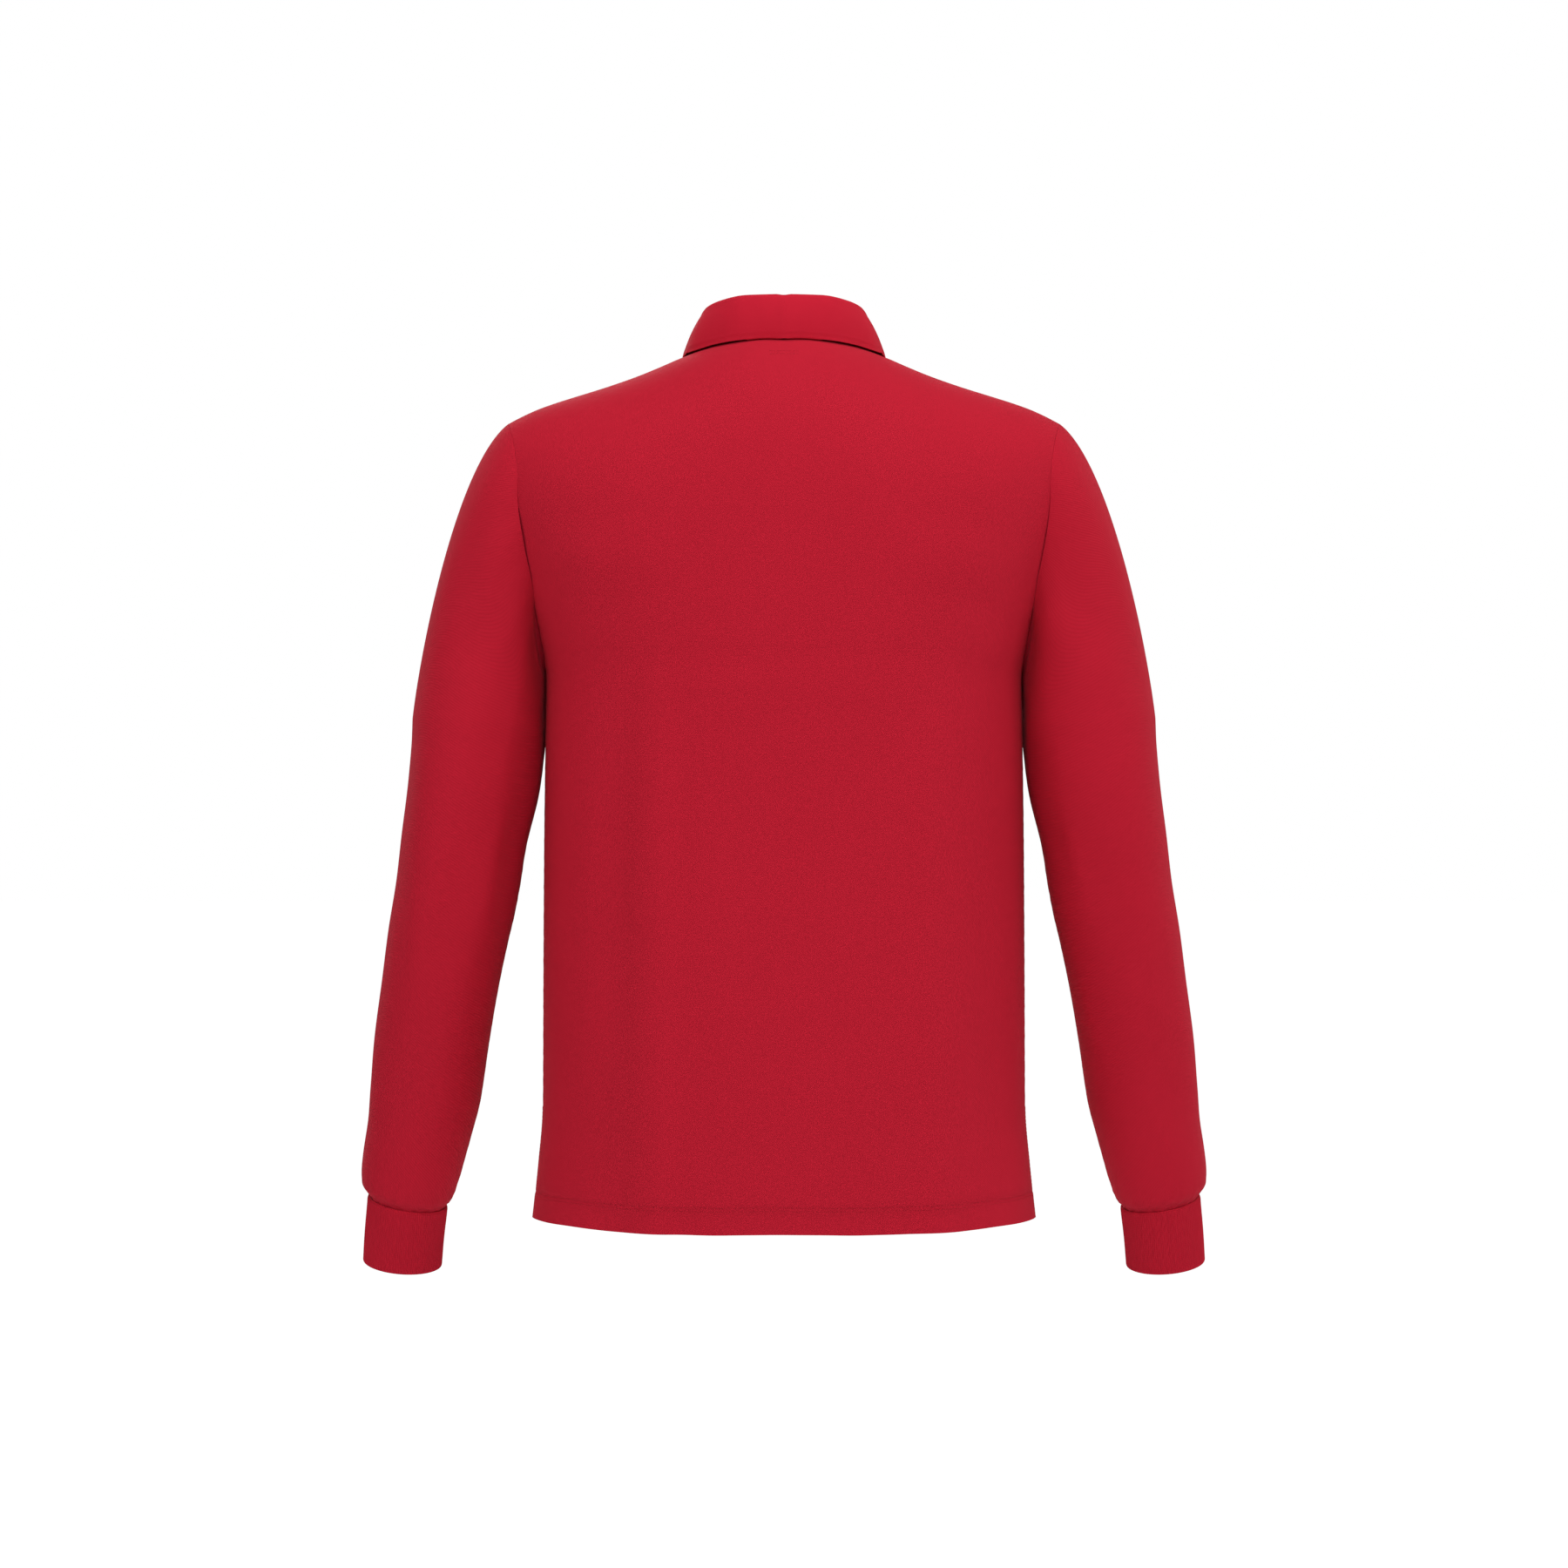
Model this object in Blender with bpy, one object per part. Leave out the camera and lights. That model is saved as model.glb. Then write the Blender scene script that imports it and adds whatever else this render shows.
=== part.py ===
"""A long-sleeve polo shirt in its worn, filled-out form, one solid for each piece that is cut and sewn on.

Metres, +Z up, the front facing -Y and the wearer's left at +X. The origin is the middle of the neck at the
height of the shoulder seams' neck ends, where the wearer's shoulders carry the shirt.

The torso is one smooth form: at each height a rounded section, which rolls over to the shoulder ridge at the
top. The panels are grids on that form, cut by the neckline, the shoulder ridge, the armholes and the side
seams. The sleeves start on the armholes and run through rings down to the cuffs.
"""

from typing import NamedTuple

import bmesh
import bpy
import numpy as np

# ---------------------------------------------------------------- driving sizes
PIQUE = 0.0012  # wall of the body cloth
RIB = 0.0020  # wall of the ribbed cuffs
COLLAR_KNIT = 0.0018  # wall of the collar
SEAM_GAP = 0.0003  # between two pieces that are sewn together

HEM_Z = -0.693
VENT_TOP_Z = -0.607  # where each side seam ends and the side vent begins
VENT_SPREAD = 0.005  # how far each panel stands off the side line at the hem
ARMPIT_Z = -0.262
SHOULDER_POINT = (0.2205, -0.0574)  # x and z of the shoulder seam's outer end
NECK_POINT = (0.0728, -0.0015)  # x and z of the shoulder seam's inner end
NECK_CENTRE_Z = 0.0144  # height the shoulder ridge would reach over the middle of the neck
BACK_NECK_Z = 0.004  # back neckline at the middle
FRONT_NECK_Z = -0.064  # front neckline at the middle
SECTION_POWER = 2.12  # 2 is an ellipse, more is squarer

PLACKET_HALF = 0.015  # half the width of the front opening
PLACKET_LAP = 0.003  # how far the upper placket covers the front on each side and below
BUTTON_COUNT = 3
BUTTON_RADIUS = 0.0055
BUTTON_THICKNESS = 0.0024
BUTTON_FIRST = 0.014  # from the neckline down to the first button's middle
BUTTON_PITCH = 0.045
BUTTON_STAND = 0.0008  # from the placket to the button's underside
BUTTON_FACETS = 20

CAP_LEAVE = 0.62  # how far the sleeve keeps the way it leaves the armhole, as a share of the cap's length
CAP_ARRIVE = 0.70  # how far it has taken the arm's way before the armpit's height
HANG_GAP = 0.0010  # between the sleeve's inner side and the body's side, where it hangs against it
HANG_EASE = 0.0024  # how softly the sleeve comes to lie against the body
HANG_START = 0.35  # share of both at the armpit
HANG_DROP = 0.030  # height below the armpit by which they reach their full size

CUFF_LENGTH = 0.0555
CUFF_HALF_WIDTH = 0.0326  # at the sleeve; the cuff narrows a little towards the hand
CUFF_HALF_DEPTH = 0.0345
CUFF_NARROWING = 0.0006
RIB_COUNT = 120  # ribs round each cuff
RIB_RELIEF = 0.0004  # from the bottom of the grooves to the top of the ribs

FOLD_RADIUS = 0.0034  # of the collar's turned edge, at the middle of its wall
LEAF_BOW = 0.0020  # how far the leaf's middle bows out from a straight line
LEAF_REST = 0.0013  # the leaf's middle layer over the shoulder ridge
LEAF_RISE = 0.12  # how much more it clears the shoulder for each metre below the ridge
SHOULDER_DROP = 0.020  # how far below the ridge the leaf still rests on the shoulder
LEAF_CLEAR = 0.0038  # the leaf's middle layer in front of the panels and the placket

# ---------------------------------------------------------------- grid fineness
NECK_COLUMNS = 4  # between the placket's edge and the neck point
SIDE_COLUMNS = 13  # between the neck point and the side
VENT_ROWS = 3
BODY_ROWS = 9
ARMHOLE_ROWS = 11
PLACKET_FOOT_ROW = 4  # the armhole row where the front opening ends
CAP_ROWS = 7
SLEEVE_ROWS = 11
COLLAR_STEPS = 18  # round half the neck


# ---------------------------------------------------------------- tables, a row for each section or fold
class RidgePoint(NamedTuple):
    """The shoulder ridge, from the neck out."""

    x: float
    z: float


class TorsoSection(NamedTuple):
    """The torso form, from the hem up."""

    z: float
    half_width: float
    back_depth: float
    front_depth: float


class ArmholePoint(NamedTuple):
    """The armhole seam, from the armpit up."""

    z: float
    x: float


class Roll(NamedTuple):
    """How the form rolls over towards the ridge, by the distance out from the middle."""

    out: float
    height: float
    near: float
    far: float


class BodyFold(NamedTuple):
    """A soft upright fold in the back or the front, a ridge if its height is positive."""

    panel: str
    x_top: float
    x_hem: float
    top_z: float
    half_width: float
    height: float


class SleeveRing(NamedTuple):
    """The left sleeve below the armpit."""

    z: float
    x: float
    y: float
    half_width: float
    half_depth: float


class SleeveFold(NamedTuple):
    """A soft fold in the sleeve.

    Its place round the sleeve and its reach are in degrees, counted from the outer side over the back.
    """

    around: float
    z: float
    half_height: float
    reach: float
    height: float


class CollarSection(NamedTuple):
    """The collar's fold line and leaf edge, by the angle round the neck from the middle of the back."""

    angle: float
    fold_x: float
    fold_y: float
    fold_z: float
    edge_x: float
    edge_y: float
    edge_z: float


SHOULDER_RIDGE = [
    RidgePoint(*row)
    for row in (
        (0.0728, -0.0015),
        (0.0966, -0.0119),
        (0.1176, -0.0203),
        (0.1428, -0.0289),
        (0.1694, -0.0370),
        (0.1841, -0.0416),
        (0.1960, -0.0458),
        (0.2058, -0.0500),
        (0.2142, -0.0541),
        (0.2205, -0.0574),
    )
]
TORSO = [
    TorsoSection(*row)
    for row in (
        (-0.693, 0.2014, 0.119, 0.122),
        (-0.650, 0.1969, 0.119, 0.122),
        (-0.607, 0.1936, 0.119, 0.122),
        (-0.500, 0.1932, 0.118, 0.122),
        (-0.400, 0.1926, 0.118, 0.123),
        (-0.300, 0.1912, 0.121, 0.126),
        (-0.262, 0.1905, 0.123, 0.127),
        (-0.250, 0.1922, 0.123, 0.127),
        (-0.235, 0.1965, 0.124, 0.127),
        (-0.200, 0.2095, 0.125, 0.126),
        (-0.150, 0.2300, 0.125, 0.124),
        (-0.100, 0.2560, 0.125, 0.122),
        (-0.057, 0.2900, 0.125, 0.120),
        (0.040, 0.3600, 0.125, 0.120),
    )
]
ARMHOLE = [
    ArmholePoint(*row)
    for row in (
        (-0.262, 0.1905),
        (-0.250, 0.1914),
        (-0.223, 0.1958),
        (-0.188, 0.2015),
        (-0.134, 0.2085),
        (-0.106, 0.2098),
        (-0.080, 0.2135),
        (-0.0574, 0.2205),
    )
]
BACK_ROLL = [
    Roll(*row)
    for row in (
        (0.000, 0.160, 2.4, 3.0),
        (0.015, 0.160, 2.4, 3.0),
        (0.073, 0.150, 2.3, 2.4),
        (0.150, 0.125, 2.2, 2.1),
        (0.220, 0.120, 2.2, 2.0),
    )
]
FRONT_ROLL = [
    Roll(*row)
    for row in (
        (0.000, 0.260, 1.7, 1.5),
        (0.015, 0.260, 1.7, 1.5),
        (0.073, 0.190, 2.0, 1.9),
        (0.150, 0.140, 2.2, 2.0),
        (0.220, 0.125, 2.2, 2.0),
    )
]
BODY_FOLDS = [
    BodyFold(*row)
    for row in (
        ("back", 0.098, 0.103, -0.190, 0.024, 0.0040),
        ("back", 0.132, 0.140, -0.230, 0.024, -0.0030),
        ("back", -0.118, -0.122, -0.210, 0.026, 0.0025),
        ("front", 0.100, 0.112, -0.260, 0.026, 0.0035),
        ("front", -0.092, -0.104, -0.250, 0.026, 0.0035),
        ("front", 0.062, 0.066, -0.330, 0.024, -0.0025),
        ("front", -0.058, -0.060, -0.340, 0.024, -0.0025),
    )
]
SLEEVE = [
    SleeveRing(*row)
    for row in (
        (-0.300, 0.2430, 0.000, 0.0555, 0.0610),
        (-0.320, 0.2452, 0.001, 0.0540, 0.0600),
        (-0.345, 0.2483, 0.002, 0.0530, 0.0590),
        (-0.388, 0.2562, 0.002, 0.0503, 0.0565),
        (-0.430, 0.2622, 0.000, 0.0494, 0.0545),
        (-0.472, 0.2708, -0.005, 0.0481, 0.0525),
        (-0.514, 0.2783, -0.012, 0.0467, 0.0505),
        (-0.556, 0.2852, -0.020, 0.0462, 0.0485),
        (-0.598, 0.2908, -0.028, 0.0449, 0.0465),
        (-0.626, 0.2961, -0.033, 0.0424, 0.0447),
        (-0.654, 0.3027, -0.038, 0.0405, 0.0427),
        (-0.668, 0.3056, -0.0405, 0.0388, 0.0410),
        (-0.677, 0.3067, -0.042, 0.0366, 0.0390),
        (-0.683, 0.3067, -0.043, 0.0334, 0.0355),
    )
]
SLEEVE_FOLDS = [
    SleeveFold(*row)
    for row in (
        (62.0, -0.185, 0.075, 38.0, -0.0035),
        (118.0, -0.190, 0.070, 30.0, 0.0030),
        (55.0, -0.330, 0.080, 40.0, 0.0025),
        (100.0, -0.430, 0.090, 35.0, -0.0025),
        (235.0, -0.440, 0.060, 50.0, -0.0035),
        (250.0, -0.330, 0.060, 50.0, 0.0030),
        (70.0, -0.590, 0.060, 45.0, -0.0020),
    )
]
COLLAR = [
    CollarSection(*row)
    for row in (
        (0.0, 0.0000, 0.0660, 0.0372, 0.0000, 0.0720, 0.0034),
        (25.0, 0.0290, 0.0600, 0.0372, 0.0350, 0.0640, 0.0029),
        (50.0, 0.0490, 0.0440, 0.0352, 0.0590, 0.0470, 0.0006),
        (70.0, 0.0600, 0.0240, 0.0322, 0.0738, 0.0295, -0.0026),
        (90.0, 0.0637, 0.0000, 0.0278, 0.0797, 0.0030, -0.0030),
        (115.0, 0.0575, -0.0260, 0.0155, 0.0850, -0.0360, -0.0150),
        (140.0, 0.0420, -0.0470, -0.0060, 0.0810, -0.0660, -0.0430),
        (160.0, 0.0240, -0.0585, -0.0270, 0.0640, -0.0840, -0.0720),
        (180.0, 0.0014, -0.0640, -0.0430, 0.0420, -0.0940, -0.0960),
    )
]

RED = (0.560, 0.012, 0.026, 1.0)
BUTTON_RED = (0.480, 0.012, 0.024, 1.0)


# ---------------------------------------------------------------- curves
def through(table, column, at):
    """A smooth curve with no overshoot through one column of a table, read at `at` in the first column."""
    rows = sorted(table)
    xs = np.array([row[0] for row in rows], float)
    ys = np.array([getattr(row, column) for row in rows], float)
    step = np.diff(xs)
    slope = np.diff(ys) / step
    ends = np.concatenate([[slope[0]], slope, [slope[-1]]])
    before, after = ends[:-1], ends[1:]
    same_way = before * after > 0
    total = np.where(same_way, before + after, 1.0)
    tangent = np.where(same_way, 2 * before * after / total, 0.0)
    tangent[0], tangent[-1] = slope[0], slope[-1]
    at = np.clip(np.asarray(at, float), xs[0], xs[-1])
    i = np.clip(np.searchsorted(xs, at, side="right") - 1, 0, len(step) - 1)
    t = (at - xs[i]) / step[i]
    from_start, from_end = hermite_weights(t)
    return (
        from_start[0] * ys[i]
        + from_start[1] * step[i] * tangent[i]
        + from_end[0] * ys[i + 1]
        + from_end[1] * step[i] * tangent[i + 1]
    )


def hermite_weights(t):
    """Weights of the place and the direction at the start of a curve, and of those at its end."""
    start = (2 * t**3 - 3 * t**2 + 1, t**3 - 2 * t**2 + t)
    end = (3 * t**2 - 2 * t**3, t**3 - t**2)
    return start, end


def smooth_step(t):
    """0 below 0, 1 above 1, and a smooth rise between."""
    t = np.clip(t, 0.0, 1.0)
    return t * t * (3 - 2 * t)


def bump(distance, half_width):
    """1 in the middle and 0 from half_width on, with no corner."""
    t = np.clip(np.abs(distance) / half_width, 0.0, 1.0)
    return (1 - t * t) ** 2


def unit(vectors):
    return vectors / np.maximum(np.linalg.norm(vectors, axis=-1, keepdims=True), 1e-12)


# ---------------------------------------------------------------- the torso form
def ridge_z(x):
    """Height of the shoulder ridge at x, carried on over the neck."""
    x = np.abs(x)
    share = np.clip(x / NECK_POINT[0], 0.0, 1.0)
    over_neck = NECK_CENTRE_Z + (NECK_POINT[1] - NECK_CENTRE_Z) * share**2
    return np.where(x < NECK_POINT[0], over_neck, through(SHOULDER_RIDGE, "z", x))


def neckline_z(side, x):
    """Height of the neckline at x, on the back (side 1) or the front (side -1)."""
    share = np.clip(np.abs(x) / NECK_POINT[0], 0.0, 1.0)
    if side > 0:
        return BACK_NECK_Z + (NECK_POINT[1] - BACK_NECK_Z) * share**2
    return NECK_POINT[1] + (FRONT_NECK_Z - NECK_POINT[1]) * (1 - share**2.2) ** 0.62


def panel_top_z(side, x):
    """Height of a panel's top edge: the neckline, and the shoulder ridge outside it."""
    return np.where(np.abs(x) < NECK_POINT[0] - 1e-6, neckline_z(side, x), ridge_z(x))


def fold_height(side, x, z):
    """How far the soft upright folds lift the cloth at x and z."""
    lift = np.zeros(np.broadcast(x, z).shape)
    for fold in BODY_FOLDS:
        if (fold.panel == "back") != (side > 0):
            continue
        down = np.clip((fold.top_z - z) / (fold.top_z - HEM_Z), 0.0, 1.0)
        line = fold.x_top + (fold.x_hem - fold.x_top) * down
        lift = lift + fold.height * bump(x - line, fold.half_width) * smooth_step(down * 3.0)
    return lift


def body_y(side, x, z):
    """Where the torso form's outer face is at x and z, on the back (side 1) or the front (side -1)."""
    half_width = through(TORSO, "half_width", z)
    depth = through(TORSO, "back_depth" if side > 0 else "front_depth", z)
    roll = BACK_ROLL if side > 0 else FRONT_ROLL
    out = np.abs(x)
    height, near, far = (through(roll, name, out) for name in ("height", "near", "far"))
    share = np.clip(1 - np.clip(out / half_width, 0.0, 1.0) ** SECTION_POWER, 0.0, 1.0)
    section = share ** (1 / SECTION_POWER)
    t = np.clip((ridge_z(x) - z) / height, 0.0, 1.0)
    rolled = np.clip(1 - (1 - t) ** near, 0.0, 1.0) ** (1 / far)
    vent = np.clip((VENT_TOP_Z - z) / (VENT_TOP_Z - HEM_Z), 0.0, 1.0)
    edge = SEAM_GAP / 2 + VENT_SPREAD * vent**1.3
    return side * (edge + (depth - edge) * section * rolled + fold_height(side, x, z) * section)


def form_z(x, y):
    """Height of the torso form over a point of the plan, found by halving."""
    low, high = np.full(np.shape(x), -0.25), ridge_z(x)
    for _ in range(30):
        middle = (low + high) / 2
        depth = np.where(y >= 0, body_y(1, x, middle), -body_y(-1, x, middle))
        above = depth < np.abs(y)
        low, high = np.where(above, low, middle), np.where(above, middle, high)
    return (low + high) / 2


def panel_shares():
    """Each column's share of the way from the placket's edge to the side, for the columns of one half."""
    neck = (NECK_POINT[0] - PLACKET_HALF) / (SHOULDER_POINT[0] - PLACKET_HALF)
    inner = [neck * j / NECK_COLUMNS for j in range(NECK_COLUMNS)]
    turn = np.pi / 2 / SIDE_COLUMNS
    outer = [neck + (1 - neck) * np.sin(turn * j) for j in range(SIDE_COLUMNS + 1)]
    return np.array(inner + outer)


def armhole_shares():
    """Each armhole row's share of the way up from the armpit, close together at both ends."""
    return (1 - np.cos(np.pi * np.arange(ARMHOLE_ROWS + 1) / ARMHOLE_ROWS)) / 2


def panel_grid(side):
    """The outer face of the back (side 1) or front (side -1) as rows from the hem up, each from -X to +X."""
    shares = panel_shares()
    vent = np.linspace(HEM_Z, VENT_TOP_Z, VENT_ROWS, endpoint=False)
    body = np.linspace(VENT_TOP_Z, ARMPIT_Z, BODY_ROWS, endpoint=False)
    rows = [(level, 0.0) for level in np.concatenate([vent, body])]
    rows += [(ARMPIT_Z, share) for share in armhole_shares()]
    grid = []
    for level, share in rows:
        edge_z = level + (SHOULDER_POINT[1] - level) * share
        edge_x = through(ARMHOLE, "x", edge_z) if level >= ARMPIT_Z else through(TORSO, "half_width", level)
        x = PLACKET_HALF + (edge_x - PLACKET_HALF) * shares
        x = np.concatenate([-x[::-1], [0.0], x])
        top = panel_top_z(side, x)
        z = level + (top - level) * share
        grid.append(np.stack([x, body_y(side, x, z), z], axis=-1))
    return np.array(grid)


# ---------------------------------------------------------------- walls
def face_normals(grid, wrap=False):
    """Unit normals of a grid of points, on the side given by its columns crossed with its rows."""
    across = np.roll(grid, -1, axis=1) - np.roll(grid, 1, axis=1) if wrap else np.gradient(grid, axis=1)
    return unit(np.cross(across, np.gradient(grid, axis=0)))


def wall(name, outer, outward, thickness, material, wrap=False, cut=()):
    """A closed wall: the outer points, the same points moved inwards, and a rim round every free edge.

    The thickness is one size, or one for each column. `cut` holds the (row, column) cells that are left out.
    """
    rows, columns = outer.shape[:2]
    points = np.concatenate([outer, outer - outward * thickness]).reshape(-1, 3)
    inner_start = rows * columns
    cells = []
    for r in range(rows - 1):
        for c in range(columns if wrap else columns - 1):
            if (r, c) in cut:
                continue
            right = (c + 1) % columns
            low, high = r * columns, (r + 1) * columns
            cells.append((low + c, low + right, high + right, high + c))
    edges = {(a, b) for cell in cells for a, b in zip(cell, cell[1:] + cell[:1])}
    rims = sorted((b, a, a + inner_start, b + inner_start) for a, b in edges if (b, a) not in edges)
    inner_cells = [tuple(i + inner_start for i in reversed(cell)) for cell in cells]
    return solid(name, points, cells + inner_cells + rims, material)


def solid(name, points, faces, material):
    """One named object with its faces pointing out."""
    used = sorted({i for face in faces for i in face})
    place = {old: new for new, old in enumerate(used)}
    mesh = bpy.data.meshes.new(name)
    mesh.from_pydata([tuple(points[i]) for i in used], [], [tuple(place[i] for i in f) for f in faces])
    work = bmesh.new()
    work.from_mesh(mesh)
    bmesh.ops.triangulate(work, faces=work.faces[:])
    bmesh.ops.recalc_face_normals(work, faces=work.faces[:])
    if work.calc_volume(signed=True) < 0:
        bmesh.ops.reverse_faces(work, faces=work.faces[:])
    work.to_mesh(mesh)
    work.free()
    mesh.shade_smooth()
    mesh.set_sharp_from_angle(angle=np.radians(50))
    mesh.materials.append(material)
    made = bpy.data.objects.new(name, mesh)
    bpy.context.scene.collection.objects.link(made)
    return made


def finish(name, colour, roughness):
    """A plain Principled material."""
    material = bpy.data.materials.new(name)
    material.use_nodes = True
    shader = material.node_tree.nodes["Principled BSDF"]
    shader.inputs["Base Color"].default_value = colour
    shader.inputs["Roughness"].default_value = roughness
    shader.inputs["Metallic"].default_value = 0.0
    return material


# ---------------------------------------------------------------- sleeves and cuffs
def sleeve_centre(z):
    return np.stack([through(SLEEVE, "x", z), through(SLEEVE, "y", z), np.asarray(z, float)], axis=-1)


def sleeve_axes(z):
    """The arm's direction at a ring, and the ring's outward and backward directions."""
    reach = 0.02
    below, above = max(z - reach, SLEEVE[-1].z), min(z + reach, SLEEVE[0].z)
    down = unit(sleeve_centre(below) - sleeve_centre(above))
    out = unit(np.cross(np.array([0.0, 1.0, 0.0]), -down))
    back = np.cross(-down, out)
    return down, out, back


def ring(centre, out, back, half_width, half_depth, angles):
    """Points round an arm section, from its outer side over the back."""
    return centre + np.cos(angles)[:, None] * half_width * out + np.sin(angles)[:, None] * half_depth * back


def round_armhole(back, front):
    """The left armhole's values in two panel grids, from the shoulder down the back and up the front."""
    first = len(back) - 1 - ARMHOLE_ROWS
    down_back, up_front = back[first:, -1][::-1], front[first:, -1]
    both = np.concatenate([down_back[:-1], up_front[:-1]])
    both[0] = (down_back[0] + up_front[-1]) / 2
    both[ARMHOLE_ROWS] = (down_back[-1] + up_front[0]) / 2
    return both


def ring_angles(seam):
    """Angles round the arm that match the armhole's points, spread by their distances along the seam."""
    closed = np.concatenate([seam, seam[:1]])
    steps = np.linalg.norm(np.diff(closed, axis=0), axis=1)
    halves = (0.0, steps[:ARMHOLE_ROWS]), (np.pi, steps[ARMHOLE_ROWS:])
    angles = [start + np.pi * (np.cumsum(part) - part) / part.sum() for start, part in halves]
    return np.concatenate(angles)


def leaving(seam, outward):
    """The way the sleeve leaves the armhole: outwards over the shoulder, and down the side at the armpit."""
    up = smooth_step((seam[:, 2] - ARMPIT_Z) / (SHOULDER_POINT[1] - ARMPIT_Z))
    out = 0.08 + 0.72 * up
    hanging = np.stack([out, np.zeros_like(out), -np.sqrt(1 - out**2)], axis=-1)
    return unit(hanging + outward * (0.10 * (1 - up))[:, None])


def sleeve_grid(seam, outward):
    """The left sleeve's outer face as rings from the armhole to the cuff seam."""
    way = leaving(seam, outward)
    start = seam + unit(way + outward) * SEAM_GAP * 1.3
    angles = ring_angles(seam)
    first = SLEEVE[0]
    down, out, back = sleeve_axes(first.z)
    end = ring(sleeve_centre(first.z), out, back, first.half_width, first.half_depth, angles)
    span = np.linalg.norm(end - start, axis=1, keepdims=True)
    rings = []
    for t in np.linspace(0.0, 1.0, CAP_ROWS, endpoint=False):
        from_start, from_end = hermite_weights(t)
        leave, arrive = way * span * CAP_LEAVE, down * span * CAP_ARRIVE
        upper = from_start[0] * start + from_start[1] * leave
        rings.append(upper + from_end[0] * end + from_end[1] * arrive)
    levels = np.linspace(first.z, SLEEVE[-3].z, SLEEVE_ROWS - 1)
    for z in np.concatenate([levels, [SLEEVE[-2].z, SLEEVE[-1].z]]):
        down, out, back = sleeve_axes(z)
        sizes = through(SLEEVE, "half_width", z), through(SLEEVE, "half_depth", z)
        rings.append(ring(sleeve_centre(z), out, back, *sizes, angles))
    return hang_beside(np.array(rings), angles), angles


def hang_beside(grid, angles):
    """Below the armpit the sleeve's inner side lies against the body's side, and doesn't go through it."""
    x, y, z = grid[..., 0], grid[..., 1], grid[..., 2]
    depth = np.where(y >= 0, through(TORSO, "back_depth", z), through(TORSO, "front_depth", z))
    section = np.clip(1 - (np.abs(y) / depth) ** SECTION_POWER, 0.0, 1.0) ** (1 / SECTION_POWER)
    share = HANG_START + (1 - HANG_START) * smooth_step((ARMPIT_Z - z) / HANG_DROP)
    apart = x - through(TORSO, "half_width", z) * section - HANG_GAP * share
    moved = (np.sqrt(apart**2 + (HANG_EASE * share) ** 2) - apart) / 2
    started = np.arange(len(grid))[:, None] > 0
    grid[..., 0] = np.where((z < ARMPIT_Z) & (np.cos(angles) < 0) & started, x + moved, x)
    return grid


def sleeve_normals(grid):
    """Directions out of the sleeve; at its lower end straight out from the arm, so that the rim is level."""
    normals = -face_normals(grid, wrap=True)
    down, _, _ = sleeve_axes(SLEEVE[-1].z)
    spokes = grid[-1] - sleeve_centre(SLEEVE[-1].z)
    normals[-1] = unit(spokes - (spokes @ down)[:, None] * down)
    return normals


def fold_sleeve(grid, outward, angles):
    """Lifts and sinks the sleeve's points along its soft folds."""
    lift = np.zeros(grid.shape[:2])
    for fold in SLEEVE_FOLDS:
        away = (np.degrees(angles) - fold.around + 180.0) % 360.0 - 180.0
        lift += fold.height * bump(grid[..., 2] - fold.z, fold.half_height) * bump(away, fold.reach)
    return grid + outward * lift[..., None]


def cuff_grid():
    """The left cuff's ribbed outer face as two rings, the way out at each point, and the wall behind it."""
    down, out, back = sleeve_axes(SLEEVE[-1].z)
    angles = np.pi * np.arange(2 * RIB_COUNT) / RIB_COUNT
    spokes = np.cos(angles)[:, None] * out + np.sin(angles)[:, None] * back
    raised = RIB_RELIEF * (np.arange(2 * RIB_COUNT) % 2)[:, None]
    rings = []
    for along in (SEAM_GAP, CUFF_LENGTH):
        narrower = CUFF_NARROWING * along / CUFF_LENGTH
        sizes = CUFF_HALF_WIDTH - narrower, CUFF_HALF_DEPTH - narrower
        middle = sleeve_centre(SLEEVE[-1].z) + down * along
        rings.append(ring(middle, out, back, *sizes, angles) + spokes * (raised - RIB_RELIEF / 2))
    return np.array(rings), spokes, RIB + raised


def mirrored(grid):
    return grid * np.array([-1.0, 1.0, 1.0])


# ---------------------------------------------------------------- collar
def neck_seam(angle, back_edge, front_edge):
    """A point of the panels' top edges, by its angle in degrees round the neck from the back's middle."""
    edge = back_edge if angle <= 90.0 else front_edge
    x = NECK_POINT[0] * np.sin(np.radians(angle))
    return np.array([np.interp(x, edge[:, 0], edge[:, axis]) for axis in range(3)])


def collar_section(angle, seam_point):
    """The middle of the collar's wall across one section: up the stand, over the fold, down the leaf."""
    fold, edge = (
        np.array([through(COLLAR, f"{line}_{axis}", angle) for axis in "xyz"]) for line in ("fold", "edge")
    )
    away = unit((edge - fold) * np.array([1.0, 1.0, 0.0]))
    up = np.array([0.0, 0.0, 1.0])
    foot = seam_point + up * SEAM_GAP * 1.2 - away * COLLAR_KNIT / 2
    foot[0] = max(foot[0], COLLAR[-1].fold_x)
    middle = fold - up * FOLD_RADIUS
    stand_top = middle - away * FOLD_RADIUS
    stand = [foot + (stand_top - foot) * t for t in (0.0, 0.3, 0.65, 1.0)]
    arc = [away * np.cos(a) + up * np.sin(a) for a in np.radians([145, 110, 75, 40])]
    turned = [middle + spoke * FOLD_RADIUS for spoke in arc]
    start = middle + away * FOLD_RADIUS * 1.05
    bow = unit(away * 0.9 + up * 0.5) * LEAF_BOW
    leaf = [start + (edge - start) * t + bow * 4 * t * (1 - t) for t in (0.0, 0.25, 0.5, 0.75, 1.0)]
    return stand + turned + leaf


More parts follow.
